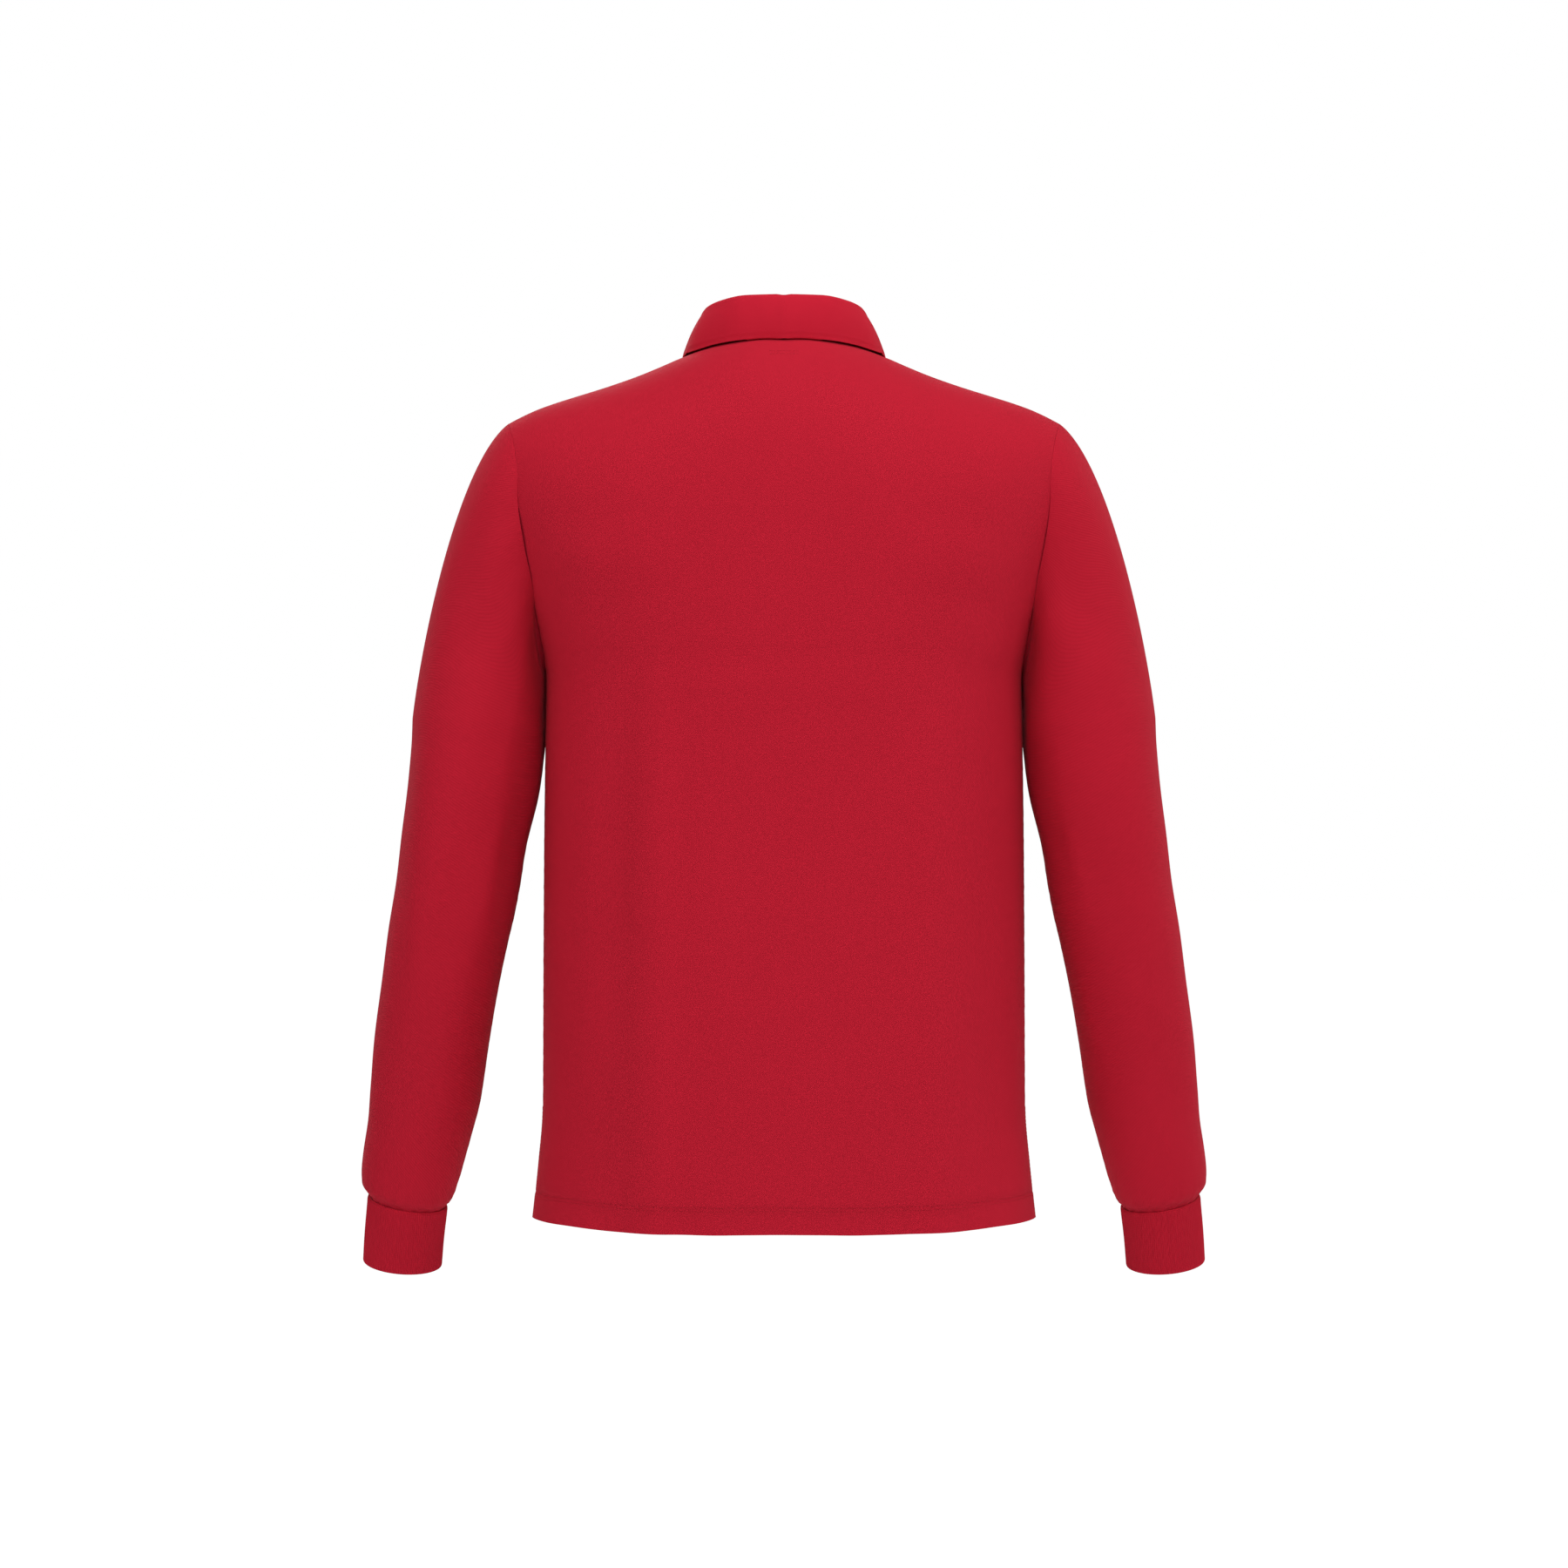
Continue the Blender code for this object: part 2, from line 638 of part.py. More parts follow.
def clear_of_body(grid, first_column):
    """Moves the leaf's points up off the shoulders and out from the panels, where they come too near."""
    leaf = grid[:, first_column:]
    x, y, z = leaf[..., 0], leaf[..., 1], leaf[..., 2]
    surface = form_z(x, y)
    drop = ridge_z(x) - surface
    on_shoulder = drop < SHOULDER_DROP
    leaf[..., 2] = np.where(on_shoulder, np.maximum(z, surface + LEAF_REST + LEAF_RISE * drop), z)
    face = np.where(y >= 0, body_y(1, x, z), -body_y(-1, x, z))
    pushed = np.sign(y) * np.maximum(np.abs(y), face + LEAF_CLEAR)
    leaf[..., 1] = np.where(on_shoulder, y, pushed)


def collar_grid(back_edge, front_edge):
    """The middle of the collar's wall as sections from its right end round the back to its left end."""
    angles = np.linspace(0.0, 180.0, COLLAR_STEPS + 1)
    half = np.array([collar_section(angle, neck_seam(angle, back_edge, front_edge)) for angle in angles])
    clear_of_body(half, first_column=8)
    return np.concatenate([mirrored(half[1:][::-1]), half])


# ---------------------------------------------------------------- placket and buttons
def strip_on(grid, outward, rows, xs, out):
    """A strip that follows a panel's own points, at fractional rows and places along x, moved out."""
    points, directions = [], []
    for row in rows:
        low = min(int(row), len(grid) - 2)
        share = row - low
        line = grid[low] * (1 - share) + grid[low + 1] * share
        way = outward[low] * (1 - share) + outward[low + 1] * share
        place, turned = (read_along(line[:, 0], values, xs) for values in (line, way))
        directions.append(unit(turned))
        points.append(place + directions[-1] * out)
    return np.array(points), np.array(directions)


def read_along(places, values, xs):
    """Each column of the values at xs, read between their places along x."""
    return np.stack([np.interp(xs, places, column) for column in values.T], axis=-1)


def placket_rows(grid, drop):
    """Rows of the opening from its foot up to the neckline, the lowest moved down by `drop`."""
    foot = len(grid) - 1 - ARMHOLE_ROWS + PLACKET_FOOT_ROW
    centre = grid.shape[1] // 2
    neighbour = foot - 1 if drop > 0 else foot + 1
    row_height = abs(grid[neighbour, centre, 2] - grid[foot, centre, 2])
    return [foot - drop / row_height] + list(range(foot + (drop <= 0), len(grid)))


def button(name, middle, outward, material):
    """A turned button with a raised rim and a sunk middle."""
    profile = (  # distance from the middle and height, as shares of the radius and of the thickness
        (0.0, 0.0),
        (0.80, 0.0),
        (1.0, 0.30),
        (1.0, 0.70),
        (0.92, 1.0),
        (0.74, 1.0),
        (0.62, 0.62),
        (0.0, 0.62),
    )
    right = np.array([1.0, 0.0, 0.0])
    upward = unit(np.cross(outward, right))
    points = [middle, middle + outward * profile[-1][1] * BUTTON_THICKNESS]
    for share, height in profile[1:-1]:
        for a in np.arange(BUTTON_FACETS) * 2 * np.pi / BUTTON_FACETS:
            spoke = (right * np.cos(a) + upward * np.sin(a)) * share * BUTTON_RADIUS
            points.append(middle + spoke + outward * height * BUTTON_THICKNESS)
    loops = [2 + k * BUTTON_FACETS for k in range(len(profile) - 2)]
    faces = []
    for i in range(BUTTON_FACETS):
        j = (i + 1) % BUTTON_FACETS
        faces += [(0, loops[0] + j, loops[0] + i), (1, loops[-1] + i, loops[-1] + j)]
        faces += [(low + i, low + j, high + j, high + i) for low, high in zip(loops, loops[1:])]
    return solid(name, np.array(points), faces, material)


def make_placket(front, front_out, cloth, resin):
    """The two plackets, one in the front's opening and one over it, and the buttons down their middle."""
    inside = PLACKET_HALF - SEAM_GAP
    under, under_out = strip_on(
        front, front_out, placket_rows(front, -2 * SEAM_GAP), np.linspace(-inside, inside, 3), 0.0
    )
    wall("placket_under", under, under_out, PIQUE, cloth)
    lap = PLACKET_HALF + PLACKET_LAP
    xs = np.array([-lap, -PLACKET_HALF, 0.0, PLACKET_HALF, lap])
    upper, upper_out = strip_on(front, front_out, placket_rows(front, PLACKET_LAP), xs, SEAM_GAP + PIQUE)
    wall("placket_upper", upper, upper_out, PIQUE, cloth)
    centre = upper[:, 2]
    for i in range(BUTTON_COUNT):
        z = centre[-1, 2] - BUTTON_FIRST - BUTTON_PITCH * i
        low = np.searchsorted(centre[:, 2], z) - 1
        line = centre[low + 1] - centre[low]
        place = centre[low] + line * (z - centre[low, 2]) / line[2]
        way = unit(np.cross(np.array([1.0, 0.0, 0.0]), line))
        button(f"button_{i + 1}", place + way * BUTTON_STAND, way, resin)


# ---------------------------------------------------------------- the whole shirt
def share_edges(back_out, front_out, on_ridge):
    """Gives both panels the same inward way at their side seams and shoulder seams."""
    for column in (0, -1):
        both = unit(back_out[:, column] + front_out[:, column])
        back_out[:, column], front_out[:, column] = both, both
    ridge = unit(back_out[-1] + front_out[-1])[on_ridge]
    back_out[-1, on_ridge], front_out[-1, on_ridge] = ridge, ridge


def share_armhole(back_out, front_out, shared):
    """Gives both panels, at both armholes, the sleeve's inward way."""
    down_back = shared[: ARMHOLE_ROWS + 1]
    up_front = np.concatenate([shared[ARMHOLE_ROWS:], shared[:1]])
    first = len(back_out) - 1 - ARMHOLE_ROWS
    for column, turn in ((-1, np.asarray), (0, mirrored)):
        back_out[first:, column] = turn(down_back[::-1])
        front_out[first:, column] = turn(up_front)


def make_panels(back, front, back_out, front_out, cloth):
    """The back, and the front with the placket's opening cut into its middle."""
    foot, centre = len(front) - 1 - ARMHOLE_ROWS + PLACKET_FOOT_ROW, front.shape[1] // 2
    opening = {(row, column) for row in range(foot, len(front) - 1) for column in (centre - 1, centre)}
    wall("back_panel", back, back_out, PIQUE, cloth)
    wall("front_panel", front, front_out, PIQUE, cloth, cut=opening)


def make_sleeves(sleeve, sleeve_out, angles, cloth, rib):
    """Both sleeves and both cuffs; the right ones mirror the left."""
    sleeve = fold_sleeve(sleeve, sleeve_out, angles)
    cuff, cuff_out, cuff_wall = cuff_grid()
    for name, turn in (("left", np.asarray), ("right", mirrored)):
        wall(f"sleeve_{name}", turn(sleeve), turn(sleeve_out), PIQUE, cloth, wrap=True)
        wall(f"cuff_{name}", turn(cuff), turn(cuff_out), cuff_wall, rib, wrap=True)


def make_collar(back_edge, front_edge, knit):
    """The collar, one strip turned over on itself and sewn to the neckline."""
    middle = collar_grid(back_edge, front_edge)
    outward = face_normals(middle)
    wall("collar", middle + outward * COLLAR_KNIT / 2, outward, COLLAR_KNIT, knit)


def main():
    for obj in list(bpy.data.objects):
        bpy.data.objects.remove(obj, do_unlink=True)
    pique = finish("pique", RED, 0.85)
    rib = finish("rib_knit", RED, 0.88)
    knit = finish("collar_knit", RED, 0.86)
    resin = finish("button_resin", BUTTON_RED, 0.35)

    back, front = panel_grid(1), panel_grid(-1)
    back_out, front_out = -face_normals(back), face_normals(front)
    share_edges(back_out, front_out, np.abs(back[-1, :, 0]) >= NECK_POINT[0] - 1e-6)

    # The sleeve starts on the panels' armhole points, and shares its inward way with both panels there.
    outward = unit(round_armhole(back_out, front_out))
    sleeve, angles = sleeve_grid(round_armhole(back, front), outward)
    sleeve_out = sleeve_normals(sleeve)
    sleeve_out[0] = unit(outward + sleeve_out[0])
    share_armhole(back_out, front_out, sleeve_out[0])

    make_panels(back, front, back_out, front_out, pique)
    make_placket(front, front_out, pique, resin)
    make_sleeves(sleeve, sleeve_out, angles, pique, rib)
    make_collar(back[-1], front[-1], knit)


main()
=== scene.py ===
"""Dresses the long-sleeve polo shirt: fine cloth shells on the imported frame's forms, sewing, buttons and studio.

Metres, +Z up, the front facing -Y and the wearer's left at +X. The tables and the form's functions repeat the
garment's own sizes, so that every fine shell lies on the solid it stands for.
"""

import logging
from dataclasses import dataclass, field, replace
from enum import Enum
from typing import Callable, NamedTuple, Sequence

import bpy
import numpy as np
from mathutils import Matrix, Vector


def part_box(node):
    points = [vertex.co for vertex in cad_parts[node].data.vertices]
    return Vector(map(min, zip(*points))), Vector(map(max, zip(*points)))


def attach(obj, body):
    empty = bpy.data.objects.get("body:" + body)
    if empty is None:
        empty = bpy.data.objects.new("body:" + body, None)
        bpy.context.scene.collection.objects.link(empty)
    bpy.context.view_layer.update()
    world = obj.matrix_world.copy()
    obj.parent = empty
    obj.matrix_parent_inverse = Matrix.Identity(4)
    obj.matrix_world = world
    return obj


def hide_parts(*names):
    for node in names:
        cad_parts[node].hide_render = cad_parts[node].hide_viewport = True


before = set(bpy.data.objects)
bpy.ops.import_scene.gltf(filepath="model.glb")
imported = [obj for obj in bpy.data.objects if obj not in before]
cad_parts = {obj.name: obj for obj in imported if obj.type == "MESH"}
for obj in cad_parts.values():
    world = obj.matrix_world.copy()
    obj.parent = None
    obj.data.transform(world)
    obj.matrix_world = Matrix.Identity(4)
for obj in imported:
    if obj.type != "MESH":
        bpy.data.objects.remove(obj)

Array = np.ndarray
Socket = bpy.types.NodeSocket
log = logging.getLogger("shirt")


# ---------------------------------------------------------------- tables, a row for each section or fold
class RidgePoint(NamedTuple):
    """The shoulder ridge, from the neck out."""

    x: float
    z: float


class TorsoSection(NamedTuple):
    """The torso form, from the hem up."""

    z: float
    half_width: float
    back_depth: float
    front_depth: float


class ArmholePoint(NamedTuple):
    """The armhole seam, from the armpit up."""

    z: float
    x: float


class Roll(NamedTuple):
    """How the form rolls over towards the ridge, by the distance out from the middle."""

    out: float
    height: float
    near: float
    far: float


class BodyFold(NamedTuple):
    """A soft upright fold of the back (side 1) or the front (side -1), a ridge if its height is positive."""

    side: int
    x_top: float
    x_hem: float
    top_z: float
    half_width: float
    height: float


class Crease(NamedTuple):
    """A soft crease of the back or the front, along a line from one point of the panel to another."""

    side: int
    x_start: float
    z_start: float
    x_end: float
    z_end: float
    half_width: float
    height: float


class SleeveRing(NamedTuple):
    """The left sleeve below the armpit."""

    z: float
    x: float
    y: float
    half_width: float
    half_depth: float


class SleeveFold(NamedTuple):
    """A soft fold in a sleeve, with its place and reach in degrees round it and its slant in degrees a metre.

    The sleeves column holds 1 for the left sleeve, -1 for the right one and 0 for both.
    """

    around: float
    z: float
    half_height: float
    reach: float
    height: float
    slant: float = 0.0
    sleeves: int = 0


class CollarSection(NamedTuple):
    """The collar's fold line and leaf edge, by the angle round the neck from the middle of the back."""

    angle: float
    fold_x: float
    fold_y: float
    fold_z: float
    edge_x: float
    edge_y: float
    edge_z: float


def table(kind: type, rows: Sequence[Sequence[float]]) -> list:
    """Rows of plain numbers as rows with named columns."""
    return [kind(*row) for row in rows]


SHOULDER_RIDGE = table(RidgePoint, (
    (0.0728, -0.0015), (0.0966, -0.0119), (0.1176, -0.0203), (0.1428, -0.0289), (0.1694, -0.0370),
    (0.1841, -0.0416), (0.1960, -0.0458), (0.2058, -0.0500), (0.2142, -0.0541), (0.2205, -0.0574),
))
TORSO = table(TorsoSection, (
    (-0.693, 0.2014, 0.119, 0.122),
    (-0.650, 0.1969, 0.119, 0.122),
    (-0.607, 0.1936, 0.119, 0.122),
    (-0.500, 0.1932, 0.118, 0.122),
    (-0.400, 0.1926, 0.118, 0.123),
    (-0.300, 0.1912, 0.121, 0.126),
    (-0.262, 0.1905, 0.123, 0.127),
    (-0.250, 0.1922, 0.123, 0.127),
    (-0.235, 0.1965, 0.124, 0.127),
    (-0.200, 0.2095, 0.125, 0.126),
    (-0.150, 0.2300, 0.125, 0.124),
    (-0.100, 0.2560, 0.125, 0.122),
    (-0.057, 0.2900, 0.125, 0.120),
    (0.040, 0.3600, 0.125, 0.120),
))
ARMHOLE = table(ArmholePoint, (
    (-0.262, 0.1905), (-0.250, 0.1914), (-0.223, 0.1958), (-0.188, 0.2015),
    (-0.134, 0.2085), (-0.106, 0.2098), (-0.080, 0.2135), (-0.0574, 0.2205),
))
BACK_ROLL = table(Roll, (
    (0.000, 0.160, 2.4, 3.0),
    (0.015, 0.160, 2.4, 3.0),
    (0.073, 0.150, 2.3, 2.4),
    (0.150, 0.125, 2.2, 2.1),
    (0.220, 0.120, 2.2, 2.0),
))
FRONT_ROLL = table(Roll, (
    (0.000, 0.260, 1.7, 1.5),
    (0.015, 0.260, 1.7, 1.5),
    (0.073, 0.190, 2.0, 1.9),
    (0.150, 0.140, 2.2, 2.0),
    (0.220, 0.125, 2.2, 2.0),
))
BODY_FOLDS = table(BodyFold, (
    (1, 0.098, 0.103, -0.190, 0.024, 0.0040),
    (1, 0.132, 0.140, -0.230, 0.024, -0.0030),
    (1, -0.118, -0.122, -0.210, 0.026, 0.0025),
    (-1, 0.100, 0.112, -0.260, 0.026, 0.0035),
    (-1, -0.092, -0.104, -0.250, 0.026, 0.0035),
    (-1, 0.062, 0.066, -0.330, 0.024, -0.0025),
    (-1, -0.058, -0.060, -0.340, 0.024, -0.0025),
))
CREASES = table(Crease, (
    (1, -0.127, -0.190, -0.112, -0.330, 0.020, -0.0012),
    (1, -0.150, -0.360, -0.168, -0.680, 0.020, -0.0013),
    (1, -0.030, -0.205, -0.026, -0.330, 0.018, -0.0006),
    (1, 0.186, -0.225, 0.130, -0.150, 0.016, 0.0010),
    (1, -0.186, -0.225, -0.134, -0.160, 0.016, 0.0009),
    (1, 0.172, -0.290, 0.120, -0.235, 0.018, -0.0009),
    (1, -0.174, -0.285, -0.126, -0.225, 0.018, -0.0008),
    (1, 0.040, -0.430, 0.048, -0.660, 0.022, 0.0008),
    (1, -0.060, -0.450, -0.066, -0.670, 0.022, 0.0009),
    (1, 0.072, -0.060, 0.112, -0.120, 0.016, -0.0005),
    (1, 0.200, -0.185, 0.060, -0.160, 0.034, 0.0030),
    (1, -0.200, -0.185, -0.060, -0.160, 0.034, 0.0024),
    (1, -0.200, -0.240, -0.100, -0.235, 0.030, 0.0015),
    (1, 0.100, -0.260, 0.105, -0.720, 0.034, 0.0022),
    (1, -0.100, -0.260, -0.105, -0.720, 0.034, 0.0011),
    (1, 0.065, -0.240, 0.068, -0.720, 0.034, 0.0011),
    (1, 0.170, -0.300, 0.180, -0.720, 0.034, -0.0013),
    (1, -0.170, -0.300, -0.180, -0.720, 0.034, -0.0018),
    (1, 0.140, -0.540, 0.190, -0.740, 0.036, -0.0030),
    (1, 0.210, -0.168, 0.110, -0.152, 0.028, 0.0013),
    (1, -0.210, -0.168, -0.110, -0.152, 0.028, 0.0008),
    (-1, 0.184, -0.225, 0.126, -0.140, 0.016, 0.0012),
    (-1, -0.184, -0.225, -0.130, -0.150, 0.016, 0.0011),
    (-1, 0.170, -0.290, 0.112, -0.235, 0.018, -0.0011),
    (-1, -0.172, -0.285, -0.116, -0.220, 0.018, -0.0010),
    (-1, 0.020, -0.215, 0.034, -0.330, 0.018, 0.0009),
    (-1, -0.022, -0.218, -0.040, -0.350, 0.018, 0.0008),
    (-1, 0.150, -0.400, 0.158, -0.670, 0.020, -0.0014),
    (-1, -0.148, -0.380, -0.160, -0.660, 0.020, -0.0012),
    (-1, 0.016, -0.450, 0.010, -0.670, 0.022, 0.0010),
    (-1, -0.026, -0.480, -0.020, -0.680, 0.020, -0.0007),
))
SLEEVE = table(SleeveRing, (
    (-0.300, 0.2430, 0.000, 0.0555, 0.0610),
    (-0.320, 0.2452, 0.001, 0.0540, 0.0600),
    (-0.345, 0.2483, 0.002, 0.0530, 0.0590),
    (-0.388, 0.2562, 0.002, 0.0503, 0.0565),
    (-0.430, 0.2622, 0.000, 0.0494, 0.0545),
    (-0.472, 0.2708, -0.005, 0.0481, 0.0525),
    (-0.514, 0.2783, -0.012, 0.0467, 0.0505),
    (-0.556, 0.2852, -0.020, 0.0462, 0.0485),
    (-0.598, 0.2908, -0.028, 0.0449, 0.0465),
    (-0.626, 0.2961, -0.033, 0.0424, 0.0447),
    (-0.654, 0.3027, -0.038, 0.0405, 0.0427),
    (-0.668, 0.3056, -0.0405, 0.0388, 0.0410),
    (-0.677, 0.3067, -0.042, 0.0366, 0.0390),
    (-0.683, 0.3067, -0.043, 0.0334, 0.0355),
))
SLEEVE_FOLDS = table(SleeveFold, (
    (62.0, -0.185, 0.075, 38.0, -0.0035),
    (118.0, -0.190, 0.070, 30.0, 0.0030),
    (55.0, -0.330, 0.080, 40.0, 0.0025),
    (100.0, -0.430, 0.090, 35.0, -0.0025),
    (235.0, -0.440, 0.060, 50.0, -0.0035),
    (250.0, -0.330, 0.060, 50.0, 0.0030),
    (70.0, -0.590, 0.060, 45.0, -0.0020),
))
SLEEVE_CREASES = table(SleeveFold, (
    (78.0, -0.160, 0.036, 30.0, 0.0022, 300.0, 1),
    (80.0, -0.222, 0.042, 34.0, -0.0034, 300.0, 1),
    (84.0, -0.300, 0.050, 30.0, 0.0016, 100.0, 1),
    (90.0, -0.150, 0.050, 45.0, 0.0028, 150.0, 1),
    (90.0, -0.200, 0.050, 45.0, 0.0035, 300.0, 1),
    (120.0, -0.330, 0.150, 32.0, -0.0018, 0.0, 1),
    (150.0, -0.400, 0.180, 32.0, -0.0020, 0.0, 1),
    (120.0, -0.500, 0.140, 32.0, 0.0013, 0.0, 1),
    (60.0, -0.420, 0.150, 35.0, 0.0024, 0.0, 1),
    (90.0, -0.150, 0.050, 45.0, 0.0020, 150.0, -1),
    (90.0, -0.250, 0.050, 45.0, 0.0020, 300.0, -1),
    (120.0, -0.330, 0.150, 32.0, -0.0009, 0.0, -1),
    (150.0, -0.400, 0.180, 32.0, -0.0011, 0.0, -1),
    (120.0, -0.500, 0.140, 32.0, -0.0010, 0.0, -1),
    (60.0, -0.420, 0.150, 35.0, 0.0014, 0.0, -1),
    (150.0, -0.300, 0.150, 30.0, -0.0042, 40.0, 1),
    (154.0, -0.420, 0.090, 28.0, -0.0018, 0.0, 1),
    (82.0, -0.235, 0.045, 22.0, -0.0012, -350.0, -1),
    (110.0, -0.215, 0.050, 20.0, 0.0010, -300.0, -1),
    (150.0, -0.320, 0.140, 28.0, -0.0028, 40.0, -1),
    (128.0, -0.400, 0.080, 16.0, 0.0008, 150.0, 0),
    (48.0, -0.470, 0.075, 16.0, -0.0009, -140.0, 1),
    (58.0, -0.500, 0.070, 18.0, -0.0008, 120.0, -1),
    (150.0, -0.500, 0.060, 16.0, 0.0008, -200.0, 1),
    (140.0, -0.540, 0.060, 16.0, 0.0007, 180.0, -1),
    (86.0, -0.620, 0.035, 14.0, 0.0008, 260.0, 0),
    (204.0, -0.410, 0.045, 18.0, -0.0014, 300.0, 0),
    (226.0, -0.460, 0.040, 18.0, 0.0013, 280.0, 0),
    (252.0, -0.500, 0.045, 16.0, -0.0010, 240.0, 0),
    (286.0, -0.250, 0.050, 18.0, 0.0011, -380.0, 1),
    (280.0, -0.225, 0.050, 20.0, -0.0013, -300.0, -1),
    (312.0, -0.360, 0.060, 16.0, -0.0009, -160.0, 0),
    (276.0, -0.620, 0.035, 14.0, 0.0009, -220.0, 0),
    (18.0, -0.640, 0.030, 12.0, -0.0007, 0.0, 0),
    (330.0, -0.640, 0.028, 13.0, 0.0007, 0.0, 0),
))
COLLAR = table(CollarSection, (
    (0.0, 0.0000, 0.0660, 0.0372, 0.0000, 0.0720, 0.0034),
    (25.0, 0.0290, 0.0600, 0.0372, 0.0350, 0.0640, 0.0029),
    (50.0, 0.0490, 0.0440, 0.0352, 0.0590, 0.0470, 0.0006),
    (70.0, 0.0600, 0.0240, 0.0322, 0.0738, 0.0295, -0.0026),
    (90.0, 0.0637, 0.0000, 0.0278, 0.0797, 0.0030, -0.0030),
    (115.0, 0.0575, -0.0260, 0.0155, 0.0850, -0.0360, -0.0150),
    (140.0, 0.0420, -0.0470, -0.0060, 0.0810, -0.0660, -0.0430),
    (160.0, 0.0240, -0.0585, -0.0270, 0.0640, -0.0840, -0.0720),
    (180.0, 0.0014, -0.0640, -0.0430, 0.0420, -0.0940, -0.0960),
))


# ---------------------------------------------------------------- curves
def hermite_weights(t: Array) -> tuple[tuple[Array, Array], tuple[Array, Array]]:
    """Weights of the place and the direction at the start of a curve, and of those at its end."""
    return (2 * t**3 - 3 * t**2 + 1, t**3 - 2 * t**2 + t), (3 * t**2 - 2 * t**3, t**3 - t**2)


def through(rows: Sequence, column: str, at: Array) -> Array:
    """A smooth curve with no overshoot through one column of a table.

    Args:
        rows: the table, ordered by its first column once sorted.
        column: the name of the column to read.
        at: where to read it, in the first column's unit.

    Returns:
        The column's value at each place.
    """
    rows = sorted(rows)
    xs = np.array([row[0] for row in rows], float)
    ys = np.array([getattr(row, column) for row in rows], float)
    step = np.diff(xs)
    slope = np.diff(ys) / step
    ends = np.concatenate([[slope[0]], slope, [slope[-1]]])
    before, after = ends[:-1], ends[1:]
    same_way = before * after > 0
    total = np.where(same_way, before + after, 1.0)
    tangent = np.where(same_way, 2 * before * after / total, 0.0)
    tangent[0], tangent[-1] = slope[0], slope[-1]
    at = np.clip(np.asarray(at, float), xs[0], xs[-1])
    i = np.clip(np.searchsorted(xs, at, side="right") - 1, 0, len(step) - 1)
    start, end = hermite_weights((at - xs[i]) / step[i])
    from_start = start[0] * ys[i] + start[1] * step[i] * tangent[i]
    return from_start + end[0] * ys[i + 1] + end[1] * step[i] * tangent[i + 1]


def smooth_step(t: Array) -> Array:
    """0 below 0, 1 above 1, and a smooth rise between."""
    t = np.clip(t, 0.0, 1.0)
    return t * t * (3 - 2 * t)


def bump(distance: Array, half_width: float) -> Array:
    """1 in the middle and 0 from half_width on, with no corner."""
    t = np.clip(np.abs(distance) / half_width, 0.0, 1.0)
    return (1 - t * t) ** 2


def unit(vectors: Array) -> Array:
    """Each vector at length 1."""
    return vectors / np.maximum(np.linalg.norm(vectors, axis=-1, keepdims=True), 1e-12)


def mirrored(points: Array) -> Array:
    """Points or directions of the left side as the right side's."""
    return points * np.array([-1.0, 1.0, 1.0])


def run_length(points: Array, axis: int) -> Array:
    """How far each point of a grid is along the cloth from the grid's first row or column."""
    steps = np.linalg.norm(np.diff(points, axis=axis), axis=-1)
    return np.insert(np.cumsum(steps, axis=axis), 0, 0.0, axis=axis)


def flat_places(grid: Array) -> Array:
    """Each point's place on the flat cloth: along its row, and from the first row."""
    return np.stack([run_length(grid, 1), run_length(grid, 0)], axis=-1)


def from_sides(across: Array) -> Array:
    """How far each point of a grid is from the nearer end of its row."""
    return np.minimum(across - across[:, :1], across[:, -1:] - across)


def index_at(value: Array, line: Array) -> Array:
    """The fractional place in a rising line of numbers at which it reaches a value."""
    return np.interp(value, line, np.arange(len(line)))


def around(count: int) -> Array:
    """Angles that share a full turn evenly, from 0."""
    return 2 * np.pi * np.arange(count) / count


def packed(values: Array) -> Array:
    """Numbers in one row, as Blender takes them in."""
    return np.ascontiguousarray(values, np.float32).ravel()


def uneven(at: Array, pitch: float, phase: float) -> Array:
    """A wave between -1 and 1 whose crests are unevenly spaced and unevenly high.

    Args:
        at: places along the wave, in metres.
        pitch: the mean distance between crests.
        phase: shifts the wave, so that two lines differ.

    Returns:
        The wave's height at each place.
    """
    turn = 2 * np.pi * np.asarray(at) / pitch
    return 0.5 * np.sin(turn + phase) + 0.3 * np.sin(1.63 * turn + 2.1 * phase) + 0.2 * np.sin(0.41 * turn + phase)


def groove(distance: Array, half_width: float, depth: float) -> Array:
    """The dip of cloth that is drawn in along a seam, by the distance from it."""
    return -depth * np.clip(1 - distance / half_width, 0.0, 1.0) ** 1.6


class Pucker(NamedTuple):
    """Small uneven waves along a seam or an edge."""

    height: float
    pitch: float
    phase: float
    reach: float

    def lift(self, along: Array, away: Array, strength: float | Array = 1.0) -> Array:
        """How far the cloth is lifted, by its place along the seam and its distance from it."""
        return self.height * strength * uneven(along, self.pitch, self.phase) * bump(away, self.reach)


class Side(Enum):
    """The two body panels, by the way they face along Y."""

    BACK = 1
    FRONT = -1


